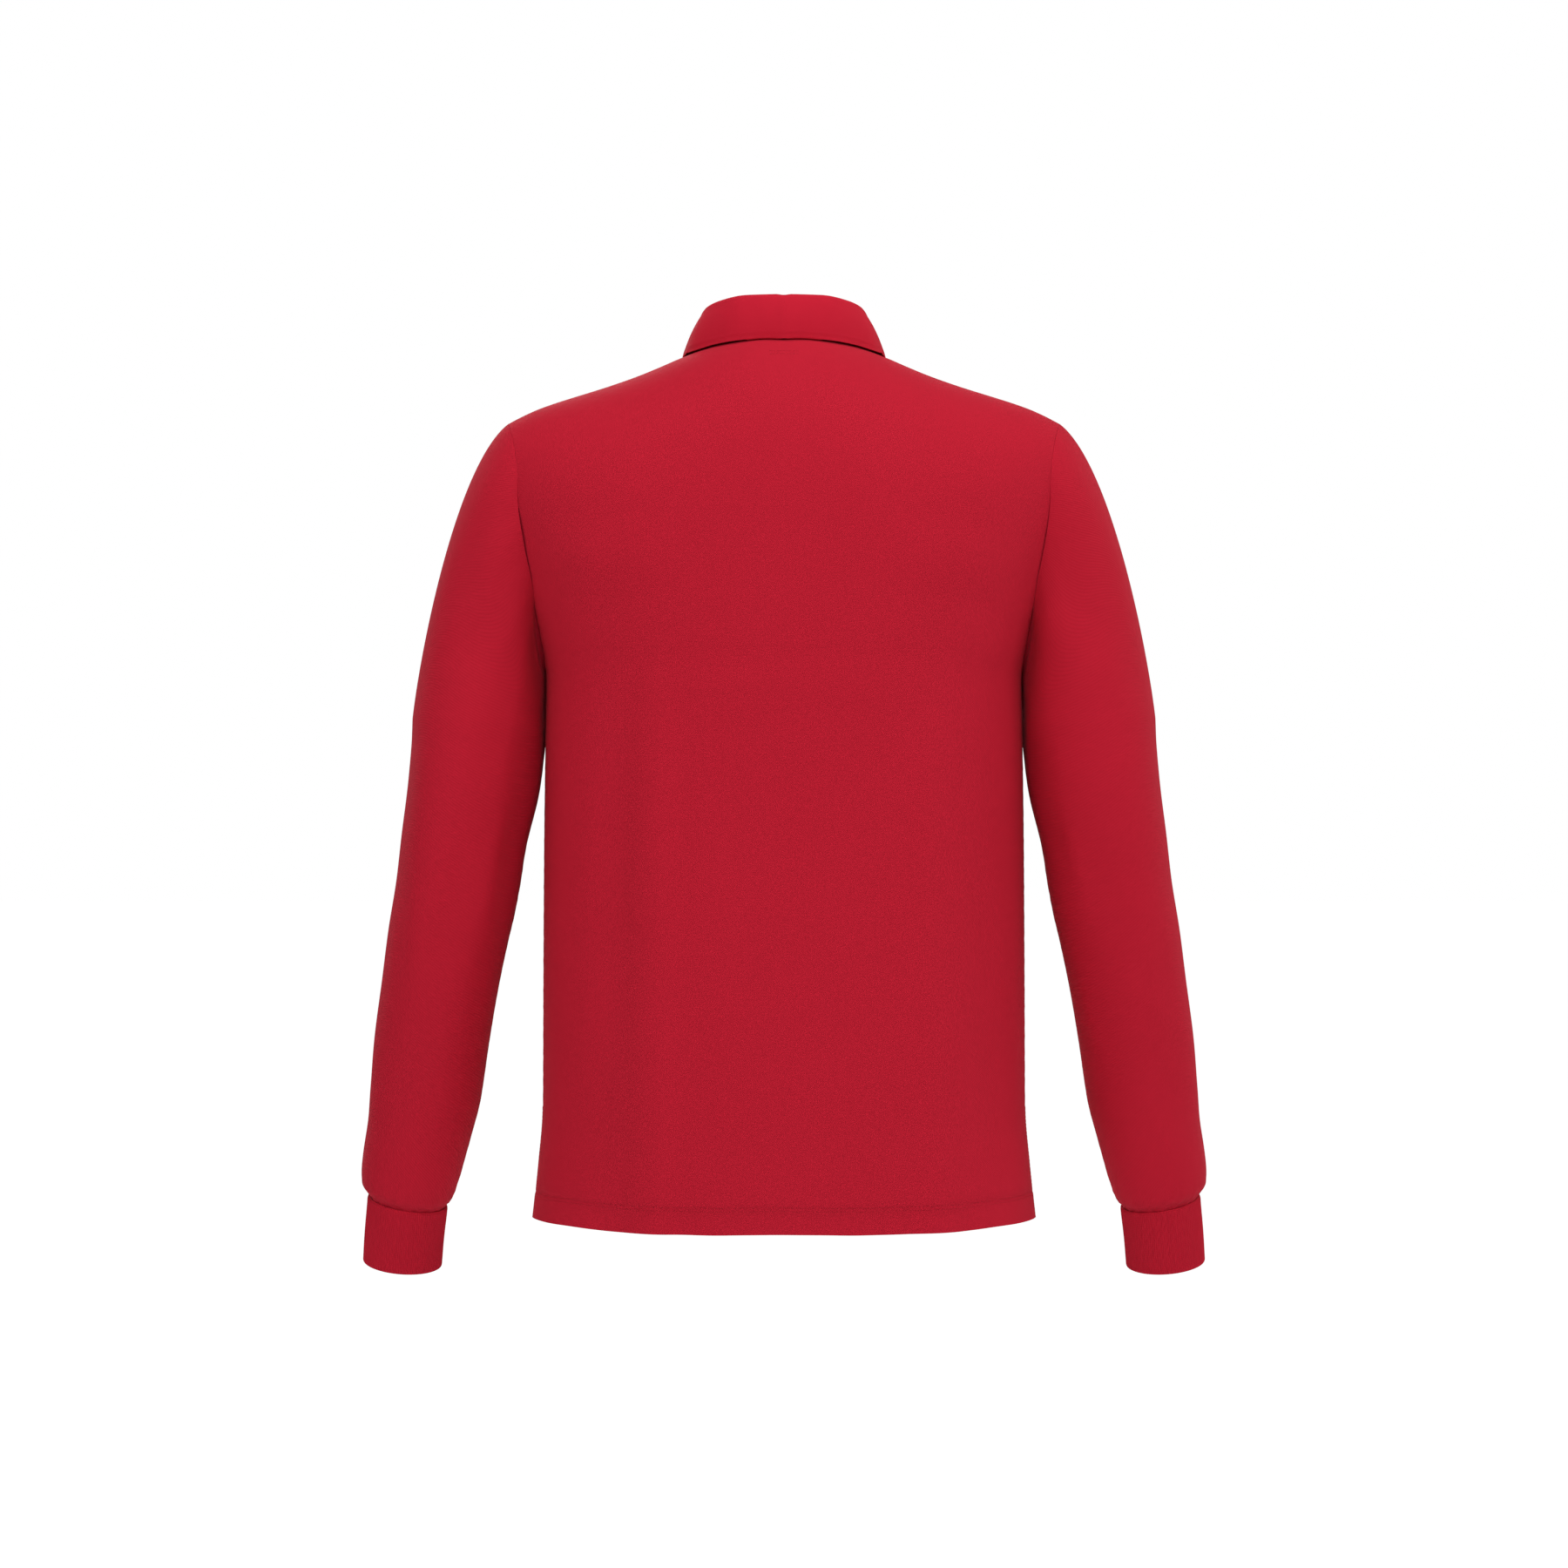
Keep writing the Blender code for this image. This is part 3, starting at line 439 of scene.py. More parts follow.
# ---------------------------------------------------------------- the torso form
@dataclass(frozen=True)
class TorsoForm:
    """The rounded form that the body panels lie on, and the lines that cut it."""

    hem_z: float = -0.693
    vent_top_z: float = -0.607
    vent_spread: float = 0.005
    armpit_z: float = -0.262
    shoulder_x: float = 0.2205
    shoulder_z: float = -0.0574
    neck_x: float = 0.0728
    neck_z: float = -0.0015
    neck_centre_z: float = 0.0144
    back_neck_z: float = 0.004
    front_neck_z: float = -0.064
    neck_powers: tuple[float, float] = (2.2, 0.62)
    power: float = 2.12
    vent_power: float = 1.3
    fold_onset: float = 3.0
    seam_gap: float = 0.0003
    shoulder_draw: float = 0.10
    draw_z: float = -0.185
    draw_drop: float = 0.045
    plan_floor_z: float = -0.25
    halvings: int = 30

    def ridge_z(self, x: Array) -> Array:
        """Height of the shoulder ridge at x, carried on over the neck.

        Args:
            x: places along X.

        Returns:
            The ridge's height at each place.
        """
        x = np.abs(x)
        share = np.clip(x / self.neck_x, 0.0, 1.0)
        over_neck = self.neck_centre_z + (self.neck_z - self.neck_centre_z) * share**2
        return np.where(x < self.neck_x, over_neck, through(SHOULDER_RIDGE, "z", x))

    def top_z(self, side: Side, x: Array) -> Array:
        """Height of a panel's top edge: the neckline, and the shoulder ridge outside it.

        Args:
            side: the back or the front.
            x: places along X.

        Returns:
            The edge's height at each place.
        """
        share = np.clip(np.abs(x) / self.neck_x, 0.0, 1.0)
        if side is Side.BACK:
            neckline = self.back_neck_z + (self.neck_z - self.back_neck_z) * share**2
        else:
            inner, outer = self.neck_powers
            neckline = self.neck_z + (self.front_neck_z - self.neck_z) * (1 - share**inner) ** outer
        return np.where(np.abs(x) < self.neck_x - 1e-6, neckline, self.ridge_z(x))

    def fold_height(self, side: Side, x: Array, z: Array) -> Array:
        """How far the soft upright folds lift the cloth of one panel at x and z.

        Args:
            side: the back or the front.
            x: places along X.
            z: heights.

        Returns:
            The lift at each place.
        """
        lift = np.zeros(np.broadcast(x, z).shape)
        for fold in BODY_FOLDS:
            if fold.side != side.value:
                continue
            down = np.clip((fold.top_z - z) / (fold.top_z - self.hem_z), 0.0, 1.0)
            line = fold.x_top + (fold.x_hem - fold.x_top) * down
            lift = lift + fold.height * bump(x - line, fold.half_width) * smooth_step(down * self.fold_onset)
        return lift

    def y(self, side: Side, x: Array, z: Array) -> Array:
        """Where the form's outer face is at x and z.

        Args:
            side: the back or the front.
            x: places along X.
            z: heights.

        Returns:
            The outer face's Y at each place.
        """
        half_width = through(TORSO, "half_width", z)
        depth = through(TORSO, "back_depth" if side is Side.BACK else "front_depth", z)
        roll = BACK_ROLL if side is Side.BACK else FRONT_ROLL
        out = np.abs(x)
        height, near, far = (through(roll, name, out) for name in ("height", "near", "far"))
        share = np.clip(1 - np.clip(out / half_width, 0.0, 1.0) ** self.power, 0.0, 1.0)
        section = share ** (1 / self.power)
        t = np.clip((self.ridge_z(x) - z) / height, 0.0, 1.0)
        rolled = np.clip(1 - (1 - t) ** near, 0.0, 1.0) ** (1 / far)
        vent = np.clip((self.vent_top_z - z) / (self.vent_top_z - self.hem_z), 0.0, 1.0)
        edge = self.seam_gap / 2 + self.vent_spread * vent**self.vent_power
        return side.value * (edge + (depth - edge) * section * rolled + self.fold_height(side, x, z) * section)

    def seam_draw(self, z: Array) -> Array:
        """How strongly the side and armhole seams draw the cloth in: faintly over the shoulder."""
        return self.shoulder_draw + (1 - self.shoulder_draw) * smooth_step((self.draw_z - z) / self.draw_drop)

    def over(self, x: Array, y: Array) -> Array:
        """Height of the form over points of the plan, found by halving.

        Args:
            x: places along X.
            y: places along Y.

        Returns:
            The form's height at each place.
        """
        low, high = np.full(np.shape(x), self.plan_floor_z), self.ridge_z(x)
        for _ in range(self.halvings):
            middle = (low + high) / 2
            depth = np.where(y >= 0, self.y(Side.BACK, x, middle), -self.y(Side.FRONT, x, middle))
            above = depth < np.abs(y)
            low, high = np.where(above, low, middle), np.where(above, middle, high)
        return (low + high) / 2


# ---------------------------------------------------------------- cloth as a grid, and its wall
@dataclass
class Cloth:
    """One piece of cloth as a grid of points on its outer face.

    Attributes:
        points: the outer face, rows by columns.
        outward: the way out of the cloth at each point.
        flat: each point's place on the flat cloth, in metres.
        wall: the cloth's thickness, in all or at each point.
        closed: whether the last column meets the first.
        cut: cells that are left out, as (row, column).
    """

    points: Array
    outward: Array
    flat: Array
    wall: float | Array
    closed: bool = False
    cut: frozenset[tuple[int, int]] = frozenset()

    RIM = 0.00035
    RIM_SEGMENTS = 2
    RIM_ANGLE = 58.0

    @property
    def middle(self) -> int:
        """The middle column."""
        return self.points.shape[1] // 2

    def row_at(self, z: float | Array) -> float | Array:
        """The fractional row at which the middle column reaches a height."""
        return index_at(z, self.points[:, self.middle, 2])

    def lifted(self, height: Array) -> "Cloth":
        """The same cloth with its outer face and its wall moved out by a height at each point."""
        return replace(self, points=self.points + self.outward * height[..., None])

    def reflected(self) -> "Cloth":
        """The right side's copy of a left piece."""
        return replace(self, points=mirrored(self.points), outward=mirrored(self.outward))

    def at(self, row: float, columns: Array, out: float = 0.0) -> tuple[Array, Array]:
        """Points of the outer face between the grid's own.

        Args:
            row: a fractional row.
            columns: fractional columns.
            out: how far the points are moved out of the cloth.

        Returns:
            The points, and the way out at each.
        """
        low = min(max(int(row), 0), len(self.points) - 2)
        share = row - low
        found = []
        for values in (self.points, self.outward):
            line = values[low] * (1 - share) + values[low + 1] * share
            if self.closed:
                line = np.concatenate([line, line[:1]])
            found.append(np.stack([np.interp(columns, np.arange(len(line)), axis) for axis in line.T], axis=-1))
        way = unit(found[1])
        return found[0] + way * out, way

    def build(self, name: str, material: bpy.types.Material, rim: float = RIM) -> bpy.types.Object:
        """The cloth as a closed wall with rounded rims.

        Args:
            name: the object's name.
            material: its finish.
            rim: how wide the rounding of its free edges is, 0 for none.

        Returns:
            The finished object, with its flat places as a UV map.
        """
        rows, columns = self.points.shape[:2]
        inner = rows * columns
        points = np.concatenate([self.points, self.points - self.outward * self.wall]).reshape(-1, 3)
        r, c = np.meshgrid(np.arange(rows - 1), np.arange(columns - (not self.closed)), indexing="ij")
        kept = np.ones(r.shape, bool)
        for cell in self.cut:
            kept[cell] = False
        r, c = r[kept], c[kept]
        low, high, right = r * columns, (r + 1) * columns, (c + 1) % columns
        cells = np.stack([low + c, low + right, high + right, high + c], 1)
        across = np.zeros((len(cells), 4))
        if self.closed:
            across[c == columns - 1, 1:3] = 1.0
        starts, ends = cells.ravel(), np.roll(cells, -1, axis=1).ravel()
        known = set(zip(starts.tolist(), ends.tolist()))
        free = [(a, b) for a, b in sorted(known) if (b, a) not in known]
        rims = np.array([(b, a, a + inner, b + inner) for a, b in free])
        faces = np.concatenate([cells, cells[:, ::-1] + inner, rims])
        flat = np.concatenate([self.flat.reshape(-1, 2)] * 2)
        places = flat[faces]
        once_round = run_length(np.concatenate([self.points, self.points[:, :1]], 1), 1)[..., -1].max()
        places[: len(cells), :, 0] += across * once_round
        places[len(cells) : 2 * len(cells), :, 0] += across[:, ::-1] * once_round
        made = mesh_object(name, points, faces, places)
        made.data.materials.append(material)
        if rim > 0:
            rounding = made.modifiers.new("rounded rims", "BEVEL")
            rounding.width, rounding.segments = rim, self.RIM_SEGMENTS
            rounding.limit_method, rounding.angle_limit = "ANGLE", np.radians(self.RIM_ANGLE)
            applied(made)
        made.data.shade_smooth()
        return made


def mesh_object(name: str, points: Array, faces: Array, places: Array) -> bpy.types.Object:
    """A closed mesh with its faces turned outwards.

    Args:
        name: the object's name.
        points: its points.
        faces: four point numbers for each face.
        places: the flat place of each face's corners.

    Returns:
        The object, in the scene and riding on the shirt's body.
    """
    a, b, c, d = (points[faces[:, k]] for k in range(4))
    volume = np.einsum("ij,ij->i", a, np.cross(b, c)).sum() + np.einsum("ij,ij->i", a, np.cross(c, d)).sum()
    if volume < 0:
        faces, places = faces[:, ::-1], places[:, ::-1]
    mesh = plain_mesh(name, points.tolist(), [], faces.tolist())
    mesh.uv_layers.new(name="flat").data.foreach_set("uv", packed(places))
    return placed(name, mesh)


def plain_mesh(name: str, points: Sequence, edges: Sequence, faces: Sequence) -> bpy.types.Mesh:
    """A mesh from lists of its points, edges and faces.

    Args:
        name: its name.
        points: its points.
        edges: pairs of point numbers.
        faces: lists of point numbers.

    Returns:
        The mesh.
    """
    mesh = bpy.data.meshes.new(name)
    mesh.from_pydata(points, edges, faces)
    return mesh


def linked(name: str, data: bpy.types.ID) -> bpy.types.Object:
    """An object in the scene for a mesh, a lamp or a camera.

    Args:
        name: its name.
        data: what it shows.

    Returns:
        The object.
    """
    made = bpy.data.objects.new(name, data)
    bpy.context.scene.collection.objects.link(made)
    return made


def placed(name: str, mesh: bpy.types.Mesh) -> bpy.types.Object:
    """An object for a mesh, in the scene and riding on the shirt's body.

    Args:
        name: its name.
        mesh: its mesh.

    Returns:
        The object.
    """
    made = linked(name, mesh)
    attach(made, "root")
    return made


def applied(made: bpy.types.Object) -> None:
    """Puts an object's modifiers into its mesh.

    Args:
        made: the object.
    """
    graph = bpy.context.evaluated_depsgraph_get()
    graph.update()
    mesh = bpy.data.meshes.new_from_object(made.evaluated_get(graph))
    made.modifiers.clear()
    made.data = mesh


def grid_normals(points: Array, closed: bool) -> Array:
    """Unit normals of a grid of points, on the side given by its columns crossed with its rows.

    Args:
        points: the grid.
        closed: whether its last column meets the first.

    Returns:
        A normal at each point.
    """
    if closed:
        across = np.roll(points, -1, axis=1) - np.roll(points, 1, axis=1)
    else:
        across = np.gradient(points, axis=1)
    return unit(np.cross(across, np.gradient(points, axis=0)))


def edge_steps(first: float, growth: float, until: float) -> Array:
    """Distances from an edge that start close together and grow.

    Args:
        first: the first distance.
        growth: how much each step grows by.
        until: the distance that ends them.

    Returns:
        The distances, from 0.
    """
    steps, here = [0.0], first
    while here < until:
        steps.append(here)
        here = here * growth + first
    return np.array(steps)


NEAR_EDGE = (0.0005, 1.5, 0.004)


# ---------------------------------------------------------------- body panels
@dataclass
class Body:
    """The back and the front, each one panel of pique from the hem to the shoulder seams."""

    form: TorsoForm = field(default_factory=TorsoForm)
    wall: float = 0.0012
    placket_half: float = 0.015
    placket_foot: float = 0.2923
    row_step: float = 0.0034
    rows_below_foot: int = 18
    rows_above_foot: int = 46
    band_rows: int = 5
    placket_columns: int = 5
    neck_columns: int = 12
    side_columns: int = 54
    side_scale: float = 0.12
    hem_depth: float = 0.0205
    hem_swell: float = 0.00015
    hem_draw: float = 0.0017
    hem_rise: float = 0.0045
    hem_turn: float = 0.0035
    hem_wave: Pucker = Pucker(0.0012, 0.090, 0.3, 0.0110)
    hem_flow: Pucker = Pucker(0.0006, 0.060, 2.0, 0.030)
    hem_groove: tuple[float, float] = (0.0024, 0.00028)
    hem_pucker: Pucker = Pucker(0.00016, 0.0085, 0.7, 0.009)
    hem_sag: float = 0.0017
    sag_half: float = 0.178
    sag_fade: float = 0.045
    sag_middle: float = 0.060
    sag_height: float = 0.080
    vent_facing: float = 0.007
    facing_swell: float = 1.6
    facing_groove: tuple[float, float] = (0.0018, 0.00035)
    seam_width: float = 0.0040
    seam_depth: float = 0.0008
    seam_pucker: Pucker = Pucker(0.00022, 0.012, 1.1, 0.012)
    top_pucker: Pucker = Pucker(0.00014, 0.011, 0.4, 0.011)
    crease_in: float = 3.2
    crease_out: float = 2.2
    run_out: float = 0.030
    run_out_drop: float = 0.040
    dent_drop: float = 0.0010
    dent_width: float = 0.0065
    dent_depth: float = 0.0007
    flat: tuple[float, float] = (0.56, 0.74)

    NEAR_SIDE = (0.0005, 1.35, 0.0060)
    STITCH_ROWS = (-0.0024, -0.0016, -0.0008, 0.0, 0.0008, 0.0016, 0.0024)
    TOP_ROWS = (0.988, 0.993, 0.997, 1.0)

    def column_shares(self) -> Array:
        """Each column's share of the way from the placket's edge to the side, closer together at the side.

        Returns:
            The shares, from 0 to 1.
        """
        neck = (self.form.neck_x - self.placket_half) / (self.form.shoulder_x - self.placket_half)
        near_side = np.pi / 2 - edge_steps(*self.NEAR_SIDE)[::-1] / self.side_scale
        turns = np.concatenate([np.linspace(0, near_side[0], self.side_columns), near_side[1:]])
        inner = np.linspace(0, neck, self.neck_columns, endpoint=False)
        return np.concatenate([inner, neck + (1 - neck) * np.sin(turns)])

    def rows(self) -> list[tuple[float, float]]:
        """Each row's level, and its share of the way from there up to the panel's top edge.

        Returns:
            A level and a share for each row, from the hem up.
        """
        form = self.form
        near_hem = form.hem_z + edge_steps(*NEAR_EDGE)
        stitch = form.hem_z + self.hem_depth
        band = np.linspace(near_hem[-1] + 0.003, stitch - 0.0035, self.band_rows)
        at_stitch = stitch + np.array(self.STITCH_ROWS)
        count = int((form.armpit_z - stitch - 0.0035) / self.row_step)
        above = np.linspace(stitch + 0.0042, form.armpit_z, count, endpoint=False)
        levels = np.concatenate([near_hem, band, at_stitch, above])
        lower = np.linspace(0.0, self.placket_foot, self.rows_below_foot, endpoint=False)
        upper = np.linspace(self.placket_foot, 0.982, self.rows_above_foot)
        shares = np.concatenate([lower, upper, self.TOP_ROWS])
        return [(level, 0.0) for level in levels] + [(form.armpit_z, share) for share in shares]

    def armhole_rows(self) -> int:
        """How many rows the armhole takes."""
        return sum(level == self.form.armpit_z for level, _ in self.rows()) - 1

    def grid(self, side: Side) -> Array:
        """The form's points for one panel, in rows from the hem up, each from -X to +X.

        Args:
            side: the back or the front.

        Returns:
            The points, rows by columns.
        """
        shares = self.column_shares()
        middle = np.linspace(0.0, self.placket_half, self.placket_columns, endpoint=False)
        grid = []
        for level, share in self.rows():
            edge_z = level + (self.form.shoulder_z - level) * share
            in_armhole = level >= self.form.armpit_z
            edge_x = through(ARMHOLE, "x", edge_z) if in_armhole else through(TORSO, "half_width", level)
            half = np.concatenate([middle, self.placket_half + (edge_x - self.placket_half) * shares])
            x = np.concatenate([-half[:0:-1], half])
            z = level + (self.form.top_z(side, x) - level) * share - self.hem_dip(x, level)
            grid.append(np.stack([x, self.form.y(side, x, z), z], axis=-1))
        return np.array(grid)

    def hem_dip(self, x: Array, level: float) -> Array:
        """How much lower the cloth hangs near the hem, between the middle and the sides."""
        across = smooth_step((self.sag_half - np.abs(x)) / self.sag_fade) * (1 - 0.5 * bump(x, self.sag_middle))
        return self.hem_sag * across * smooth_step((self.form.hem_z + self.sag_height - level) / self.sag_height)

    def crease_lift(self, side: Side, grid: Array) -> Array:
        """How far the finer soft creases lift or sink each point.

        Args:
            side: the back or the front.
            grid: the panel's points, rows by columns.

        Returns:
            The lift at each point.
        """
        x, z = grid[..., 0], grid[..., 2]
        lift = np.zeros(x.shape)
        for crease in CREASES:
            if crease.side != side.value:
                continue
            way = np.array([crease.x_end - crease.x_start, crease.z_end - crease.z_start])
            length = np.linalg.norm(way)
            way /= length
            along = ((x - crease.x_start) * way[0] + (z - crease.z_start) * way[1]) / length
            aside = (x - crease.x_start) * way[1] - (z - crease.z_start) * way[0]
            fading = smooth_step(along * self.crease_in) * smooth_step((1 - along) * self.crease_out)
            width = crease.half_width * (0.75 + 0.5 * np.clip(along, 0, 1))
            lift += crease.height * bump(aside, width) * fading
        return lift

    def crease_share(self, grid: Array, flat: Array) -> Array:
        """How much of a crease is left at each point: below the armpits they run out before the side seams."""
        below = smooth_step((self.form.armpit_z - grid[..., 2]) / self.run_out_drop)
        return 1 - below * (1 - smooth_step(from_sides(flat[..., 0]) / self.run_out))

    def leaf_dent(self, grid: Array) -> Array:
        """How far the collar's leaf presses the back in, by the distance from its edge.

        Args:
            grid: the back panel's points.

        Returns:
            The dip at each point.
        """
        angles = np.linspace(-90.0, 90.0, 181)
        x, z = (through(COLLAR, f"edge_{axis}", np.abs(angles)) for axis in "xz")
        line = np.stack([x * np.sign(angles), z - self.dent_drop], axis=-1)
        apart = np.linalg.norm(grid[:, :, None, [0, 2]] - line, axis=-1).min(axis=2)
        return groove(apart, self.dent_width, self.dent_depth)

    def sewn_lift(self, grid: Array, flat: Array) -> Array:
        """How far seams, the hem and the vents' turned edges draw the cloth in or swell it.

        Args:
            grid: the panel's points, rows by columns.
            flat: the panel's flat places.

        Returns:
            The lift at each point.
        """
        form, z = self.form, grid[..., 2]
        across, up = flat[..., 0], flat[..., 1]
        from_side, from_top, from_stitch = from_sides(across), up[-1:] - up, up - self.hem_depth
        turned = self.hem_depth + self.hem_turn + self.hem_rise * (across / form.shoulder_x) ** 2
        wave, flow = self.hem_wave, self.hem_flow
        turned += wave.height * uneven(across, wave.pitch, wave.phase)
        hem = self.hem_swell * smooth_step((self.hem_depth - up) / 0.003)
        drawn_in = self.hem_draw * smooth_step(from_side / self.run_out)
        hem -= drawn_in * smooth_step((turned - up) / wave.reach)
        hem += groove(np.abs(from_stitch), *self.hem_groove)
        hem += self.hem_pucker.lift(across + 0.4 * up, from_stitch)
        hem += flow.height * uneven(across, flow.pitch, flow.phase) * smooth_step((flow.reach - up) / flow.reach)
        in_vent = smooth_step((form.vent_top_z - z) / 0.004)
        facing = self.hem_swell * self.facing_swell * smooth_step((self.vent_facing - from_side) / 0.002)
        facing += groove(np.abs(from_side - self.vent_facing), *self.facing_groove)
        drawn = form.seam_draw(z)
        seam = drawn * groove(from_side, self.seam_width, self.seam_depth)
        seam += self.seam_pucker.lift(up, from_side, drawn)
        top = groove(from_top, self.seam_width, self.seam_depth * 0.5) + self.top_pucker.lift(across, from_top)
        top *= smooth_step((np.abs(grid[-1:, :, 0]) - form.neck_x) / 0.006)
        return hem + in_vent * facing + (1 - in_vent) * seam + top

    def panels(self) -> tuple[dict[Side, Cloth], dict[Side, Cloth]]:
        """Both panels as cloth: the smooth form, and the same with its creases and seams.

        Returns:
            The smooth panels and the sewn ones, each by its side.
        """
        grids = {side: self.grid(side) for side in Side}
        outward = {side: -side.value * grid_normals(grids[side], False) for side in Side}
        on_ridge = np.abs(grids[Side.BACK][-1, :, 0]) >= self.form.neck_x - 1e-6
        for column in (0, -1):
            both = unit(outward[Side.BACK][:, column] + outward[Side.FRONT][:, column])
            for side in Side:
                outward[side][:, column] = both
        ridge = unit(outward[Side.BACK][-1] + outward[Side.FRONT][-1])[on_ridge]
        smooth, sewn = {}, {}
        for side in Side:
            outward[side][-1, on_ridge] = ridge
            flat = flat_places(grids[side])
            flat[..., 0] -= flat[:, [flat.shape[1] // 2], 0]
            smooth[side] = cloth = Cloth(grids[side], outward[side], flat, self.wall)
            lift = self.crease_lift(side, cloth.points) * self.crease_share(cloth.points, cloth.flat)
            lift += self.sewn_lift(cloth.points, cloth.flat)
            if side is Side.BACK:
                lift += self.leaf_dent(cloth.points)
            sewn[side] = cloth.lifted(lift)
            sewn[side].points[-1, on_ridge, 1] -= side.value * self.form.seam_gap * 0.55
        rows, columns = grids[Side.FRONT].shape[:2]
        across = range(columns // 2 - self.placket_columns, columns // 2 + self.placket_columns)
        sewn[Side.FRONT].cut = frozenset((r, c) for r in range(self.foot_row(), rows - 1) for c in across)
        return smooth, sewn

    def foot_row(self) -> int:
        """The row where the placket's opening begins."""
        return len(self.rows()) - 1 - self.armhole_rows() + self.rows_below_foot

    def dress(self, sewn: dict[Side, Cloth], material: bpy.types.Material) -> None:
        """Args:
            sewn: the sewn panels.
            material: the pique.
        """
        for side, node in ((Side.BACK, "back_panel"), (Side.FRONT, "front_panel")):
            made = sewn[side].build(f"{node}_cloth", material)
            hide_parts(node)


# ---------------------------------------------------------------- sleeves
@dataclass
class Sleeves:
    """Both sleeves, each one panel closed to a tube along the underarm seam."""

    form: TorsoForm
    wall: float = 0.0012
    leave: float = 0.62
    arrive: float = 0.70
    hang_gap: float = 0.0010
    hang_ease: float = 0.0024
    hang_start: float = 0.35
    hang_drop: float = 0.030
    cap_rows: int = 62
    arm_rows: int = 100
    axis_reach: float = 0.02
    armpit_out: float = 0.08
    shoulder_out: float = 0.72
    armpit_lean: float = 0.10
    seam_drop: float = 0.0006
    seam_tilt: float = 0.0046
    tilt_reach: float = 0.060
    armhole_groove: tuple[float, float] = (0.0045, 0.0007)
    armhole_pucker: Pucker = Pucker(0.00022, 0.0125, 0.9, 0.016)
    underarm_groove: tuple[float, float] = (0.0042, 0.0007)
    underarm_pucker: Pucker = Pucker(0.0002, 0.013, 0.2, 0.012)
    cuff_groove: tuple[float, float] = (0.0100, 0.0009)
    easing: Pucker = Pucker(0.00045, 0.0115, 1.7, 0.026)
    end_draw: float = 0.0017
    end_reach: float = 0.014
    flat: tuple[float, float] = (0.40, 0.66)

    NEAR_ARMHOLE = (0.0025, 1.35, 0.022)
    NEAR_CUFF = (0.0005, 1.4, 0.010)

    def axes(self, z: float) -> tuple[Array, Array, Array]:
        """The arm's direction at a ring, and the ring's outward and backward directions.

        Args:
            z: the ring's height.

        Returns:
            The way down the arm, the way out and the way back.
        """
        below, above = max(z - self.axis_reach, SLEEVE[-1].z), min(z + self.axis_reach, SLEEVE[0].z)
        down = unit(self.centre(below) - self.centre(above))
        out = unit(np.cross(np.array([0.0, 1.0, 0.0]), -down))
        return down, out, np.cross(-down, out)

    def centre(self, z: float) -> Array:
        """The middle of the arm at a height."""
        return np.array([float(through(SLEEVE, "x", z)), float(through(SLEEVE, "y", z)), z])

    def ring(self, z: float, angles: Array) -> Array:
        """Points round the arm at a height, from its outer side over the back.

        Args:
            z: the ring's height.
            angles: angles round the arm.

        Returns:
            A point at each angle.
        """
        _, out, back = self.axes(z)
        wide, deep = float(through(SLEEVE, "half_width", z)), float(through(SLEEVE, "half_depth", z))
        return self.centre(z) + np.cos(angles)[:, None] * wide * out + np.sin(angles)[:, None] * deep * back

    def armhole(self, back: Array, front: Array, rows: int) -> Array:
        """Two panels' values at the left armhole, from the shoulder down the back and up the front.

        Args:
            back: a value at each point of the back.
            front: the same for the front.
            rows: how many rows the armhole takes.

        Returns:
            The values round the armhole.
        """
        first = len(back) - 1 - rows
        down_back, up_front = back[first:, -1][::-1], front[first:, -1]
        both = np.concatenate([down_back[:-1], up_front[:-1]])
        both[0] = (down_back[0] + up_front[-1]) / 2
        both[rows] = (down_back[-1] + up_front[0]) / 2
        return both

    def angles(self, seam: Array, rows: int) -> Array:
        """Angles round the arm that match the armhole's points, spread by their distances along the seam.

        Args:
            seam: the armhole's points.
            rows: how many rows of a panel the armhole takes.

        Returns:
            An angle for each point.
        """
        closed = np.concatenate([seam, seam[:1]])
        steps = np.linalg.norm(np.diff(closed, axis=0), axis=1)
        halves = (0.0, steps[:rows]), (np.pi, steps[rows:])
        return np.concatenate([start + np.pi * (np.cumsum(part) - part) / part.sum() for start, part in halves])

    def leaving(self, seam: Array, outward: Array) -> Array:
        """The way the sleeve leaves the armhole: outwards over the shoulder, and down the side at the armpit.

        Args:
            seam: the armhole's points.
            outward: the way out of the panels there.

        Returns:
            A direction at each point.
        """
        up = smooth_step((seam[:, 2] - self.form.armpit_z) / (self.form.shoulder_z - self.form.armpit_z))
        out = self.armpit_out + self.shoulder_out * up
        hanging = np.stack([out, np.zeros_like(out), -np.sqrt(1 - out**2)], axis=-1)
        return unit(hanging + outward * (self.armpit_lean * (1 - up))[:, None])

